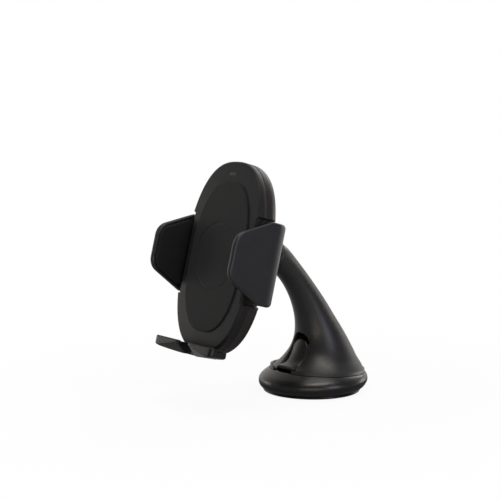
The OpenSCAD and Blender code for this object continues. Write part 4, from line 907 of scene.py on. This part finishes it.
def give_finishes():
    """Gives each CAD node and each new piece the finish of its slot; the base ring's is more polished."""
    group = moulded_group()
    finishes = {slot: plastic(group, *values) for slot, values in PLASTICS.items()}
    finishes.update({slot: metal(*values) for slot, values in METALS.items()})
    finishes["lens"] = lens_material()
    wanted = {NODES[entry["node"]]: entry["material_slot"] for entry in frame["record"]["subparts"]}
    for piece in SCENE.objects:
        if piece.type == "MESH" and "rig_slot" in piece and "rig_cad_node" not in piece:
            wanted[piece] = piece["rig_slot"]
    wanted[bpy.data.objects["base_ring_skin"]] = "rim"
    for piece, slot in wanted.items():
        piece.data.materials.clear()
        piece.data.materials.append(finishes[slot])


# Smooth steps as start, stop, low and high, with distances in metres. SEEN is how white the camera sees the
# floor, by distance from the object; OPEN and FAR_SIDE are how bright mirrors see it, by that distance and by
# how far it lies beyond the object. Where they are low, mirrors see a dim emission: painted shade near the
# object and on its near side, standing in for its shadow in reflections.
FLOOR_HALF_SIZE, FLOOR_PAINTED_SHADE = 3.0, 0.12
FLOOR_SEEN, FLOOR_OPEN = (0.05, 0.32, 0.93, 1.0), (0.042, 0.085, 0.0, 1.0)
FLOOR_FAR_SIDE = (-0.05, 0.35, 0.20, 0.95)
FAR_SIDE = (-0.79, 0.61, 0.0)

# The sky's strength, and the gradient that mirrors see, from the near side to the far and lower one
WORLD_DIM, WORLD_FAR_SIDE = 0.22, (-0.79, 0.61, -0.30)
WORLD_MIRRORED = ((0.46, (0.10, 0.10, 0.11)), (0.84, (0.86, 0.83, 0.79)))

# Lamps: name, place, aim, size in metres, power in watts, colour and spread in degrees
LAMPS = (
    ("key", (0.37, -0.10, 1.00), (0.0, 0.0, 0.04), (0.70, 0.14), 2.6, (1.0, 0.94, 0.86), 180),
    ("top", (0.05, -0.05, 1.15), (0.0, 0.0, 0.06), (0.80, 0.80), 2.6, (1.0, 0.97, 0.94), 180),
    ("fill", (-0.25, -0.95, 0.75), (0.0, -0.05, 0.06), (0.6, 0.6), 2.4, (0.95, 0.97, 1.0), 180),
    ("strip", (0.80, 0.05, 0.28), (0.0, 0.0, 0.06), (0.34, 0.56), 1.7, (0.80, 0.82, 1.0), 180),
    ("warm", (0.60, -0.50, 0.05), (0.0, 0.0, 0.02), (0.55, 0.05), 0.75, (1.0, 0.84, 0.68), 180),
    ("rim", (0.12, 0.95, 0.14), (0.03, -0.05, 0.13), (0.40, 0.16), 0.035, (1.0, 0.94, 0.87), 30),
    ("left", (-0.85, -0.42, 0.12), (0.0, -0.01, 0.06), (0.25, 0.20), 0.02, (1.0, 0.96, 0.90), 30),
    ("back", (-0.3, 0.8, 0.6), (0.0, 0.0, 0.08), (0.6, 0.5), 2.5, (1.0, 1.0, 1.0), 180))


def make_floor():
    """A pale floor that keeps the object's shadow. The camera and glass see it nearly white; a mirror sees
    painted shade in it, a dim emission, under the object and on its near side, and lighter further out."""
    mesh = bpy.data.meshes.new("floor")
    s = FLOOR_HALF_SIZE
    mesh.from_pydata([(-s, -s, 0), (s, -s, 0), (s, s, 0), (-s, s, 0)], [], [(0, 1, 2, 3)])
    floor = linked("floor", mesh)
    material = bpy.data.materials.new("pale_floor")
    material.use_nodes = True
    tree = material.node_tree
    tree.nodes.clear()
    diffuse = add_node(tree, "BsdfDiffuse", {"Color": (0.92, 0.92, 0.92, 1)}).outputs[0]
    glow = add_node(tree, "Emission", {"Color": (1, 1, 1, 1), "Strength": 1.0}).outputs[0]
    # Painted shade: a dim emission that mirrors see near the object in place of its shadow
    painted_shade = add_node(tree, "Emission", {"Strength": FLOOR_PAINTED_SHADE}).outputs[0]
    path = add_node(tree, "LightPath")
    place = add_node(tree, "TexCoord").outputs["Object"]
    away = add_node(tree, "VectorMath")
    away.operation = "LENGTH"
    tree.links.new(place, away.inputs[0])
    away = away.outputs["Value"]

    seen = math_node(tree, "MAXIMUM", path.outputs["Is Camera Ray"], path.outputs["Is Transmission Ray"])
    seen = math_node(tree, "MULTIPLY", seen, range_node(tree, away, *FLOOR_SEEN))
    side = range_node(tree, toward_node(tree, place, FAR_SIDE), *FLOOR_FAR_SIDE)
    bright = math_node(tree, "MULTIPLY", range_node(tree, away, *FLOOR_OPEN), side)
    surface = mix_node(tree, path.outputs["Is Glossy Ray"], mix_node(tree, seen, diffuse, glow),
                       mix_node(tree, bright, painted_shade, glow))
    leave = add_node(tree, "OutputMaterial")
    tree.links.new(surface, leave.inputs["Surface"])
    mesh.materials.append(material)


def make_world():
    """White for the camera and glass, a soft gradient for mirrors, and a dim sky that lights the object."""
    world = bpy.data.worlds.new("studio")
    SCENE.world = world
    world.use_nodes = True
    tree = world.node_tree
    tree.nodes.clear()
    path = add_node(tree, "LightPath")
    dim = add_node(tree, "Background", {"Color": (0.97, 0.98, 1.0, 1), "Strength": WORLD_DIM}).outputs[0]
    white = add_node(tree, "Background", {"Color": (1, 1, 1, 1), "Strength": 1.0}).outputs[0]
    studio = add_node(tree, "Background")
    toward = toward_node(tree, add_node(tree, "TexCoord").outputs["Generated"], WORLD_FAR_SIDE)
    share = math_node(tree, "ADD", math_node(tree, "MULTIPLY", toward, 0.5), 0.5)
    tree.links.new(ramp_node(tree, share, WORLD_MIRRORED), studio.inputs["Color"])
    seen = math_node(tree, "MAXIMUM", path.outputs["Is Camera Ray"], path.outputs["Is Transmission Ray"])
    soft = mix_node(tree, path.outputs["Is Glossy Ray"], dim, studio.outputs[0])
    leave = add_node(tree, "OutputWorld")
    tree.links.new(mix_node(tree, seen, soft, white), leave.inputs["Surface"])


def lamp(name, place, aim, size, power, colour, spread):
    """A rectangular lamp at a place, turned towards its aim."""
    data = bpy.data.lights.new(name, "AREA")
    data.shape = "RECTANGLE"
    data.size, data.size_y = size
    data.energy = power
    data.color = colour
    data.spread = math.radians(spread)
    light = linked(name, data)
    light.location = place
    light.rotation_mode = "QUATERNION"
    light.rotation_quaternion = (Vector(aim) - Vector(place)).to_track_quat("-Z", "Y")


make_camera()
neck_skin()
base_ring_skin()
suction_cup_skin()
back_shell_skin()
front_cover_skin()
front_pad_skin()
jaw_pieces("left_jaw", -1, "left_grip")
jaw_pieces("right_jaw", 1, "right_grip")
lever_tongue()
lever_cheeks()
foot_claw("foot_claw_left", -1, ("foot",))
foot_claw("foot_claw_right", 1)
foot_bars()
finished_copy("foot_pads", "silicone", 0.25)
collar_skin()
finished_copy("rack_cover", "matte", 0.5)
finished_copy("release_button", "matte", 0.35)
button_spring_coil()
give_finishes()
make_floor()
make_world()
for values in LAMPS:
    lamp(*values)

SCENE.view_settings.view_transform = "Standard"
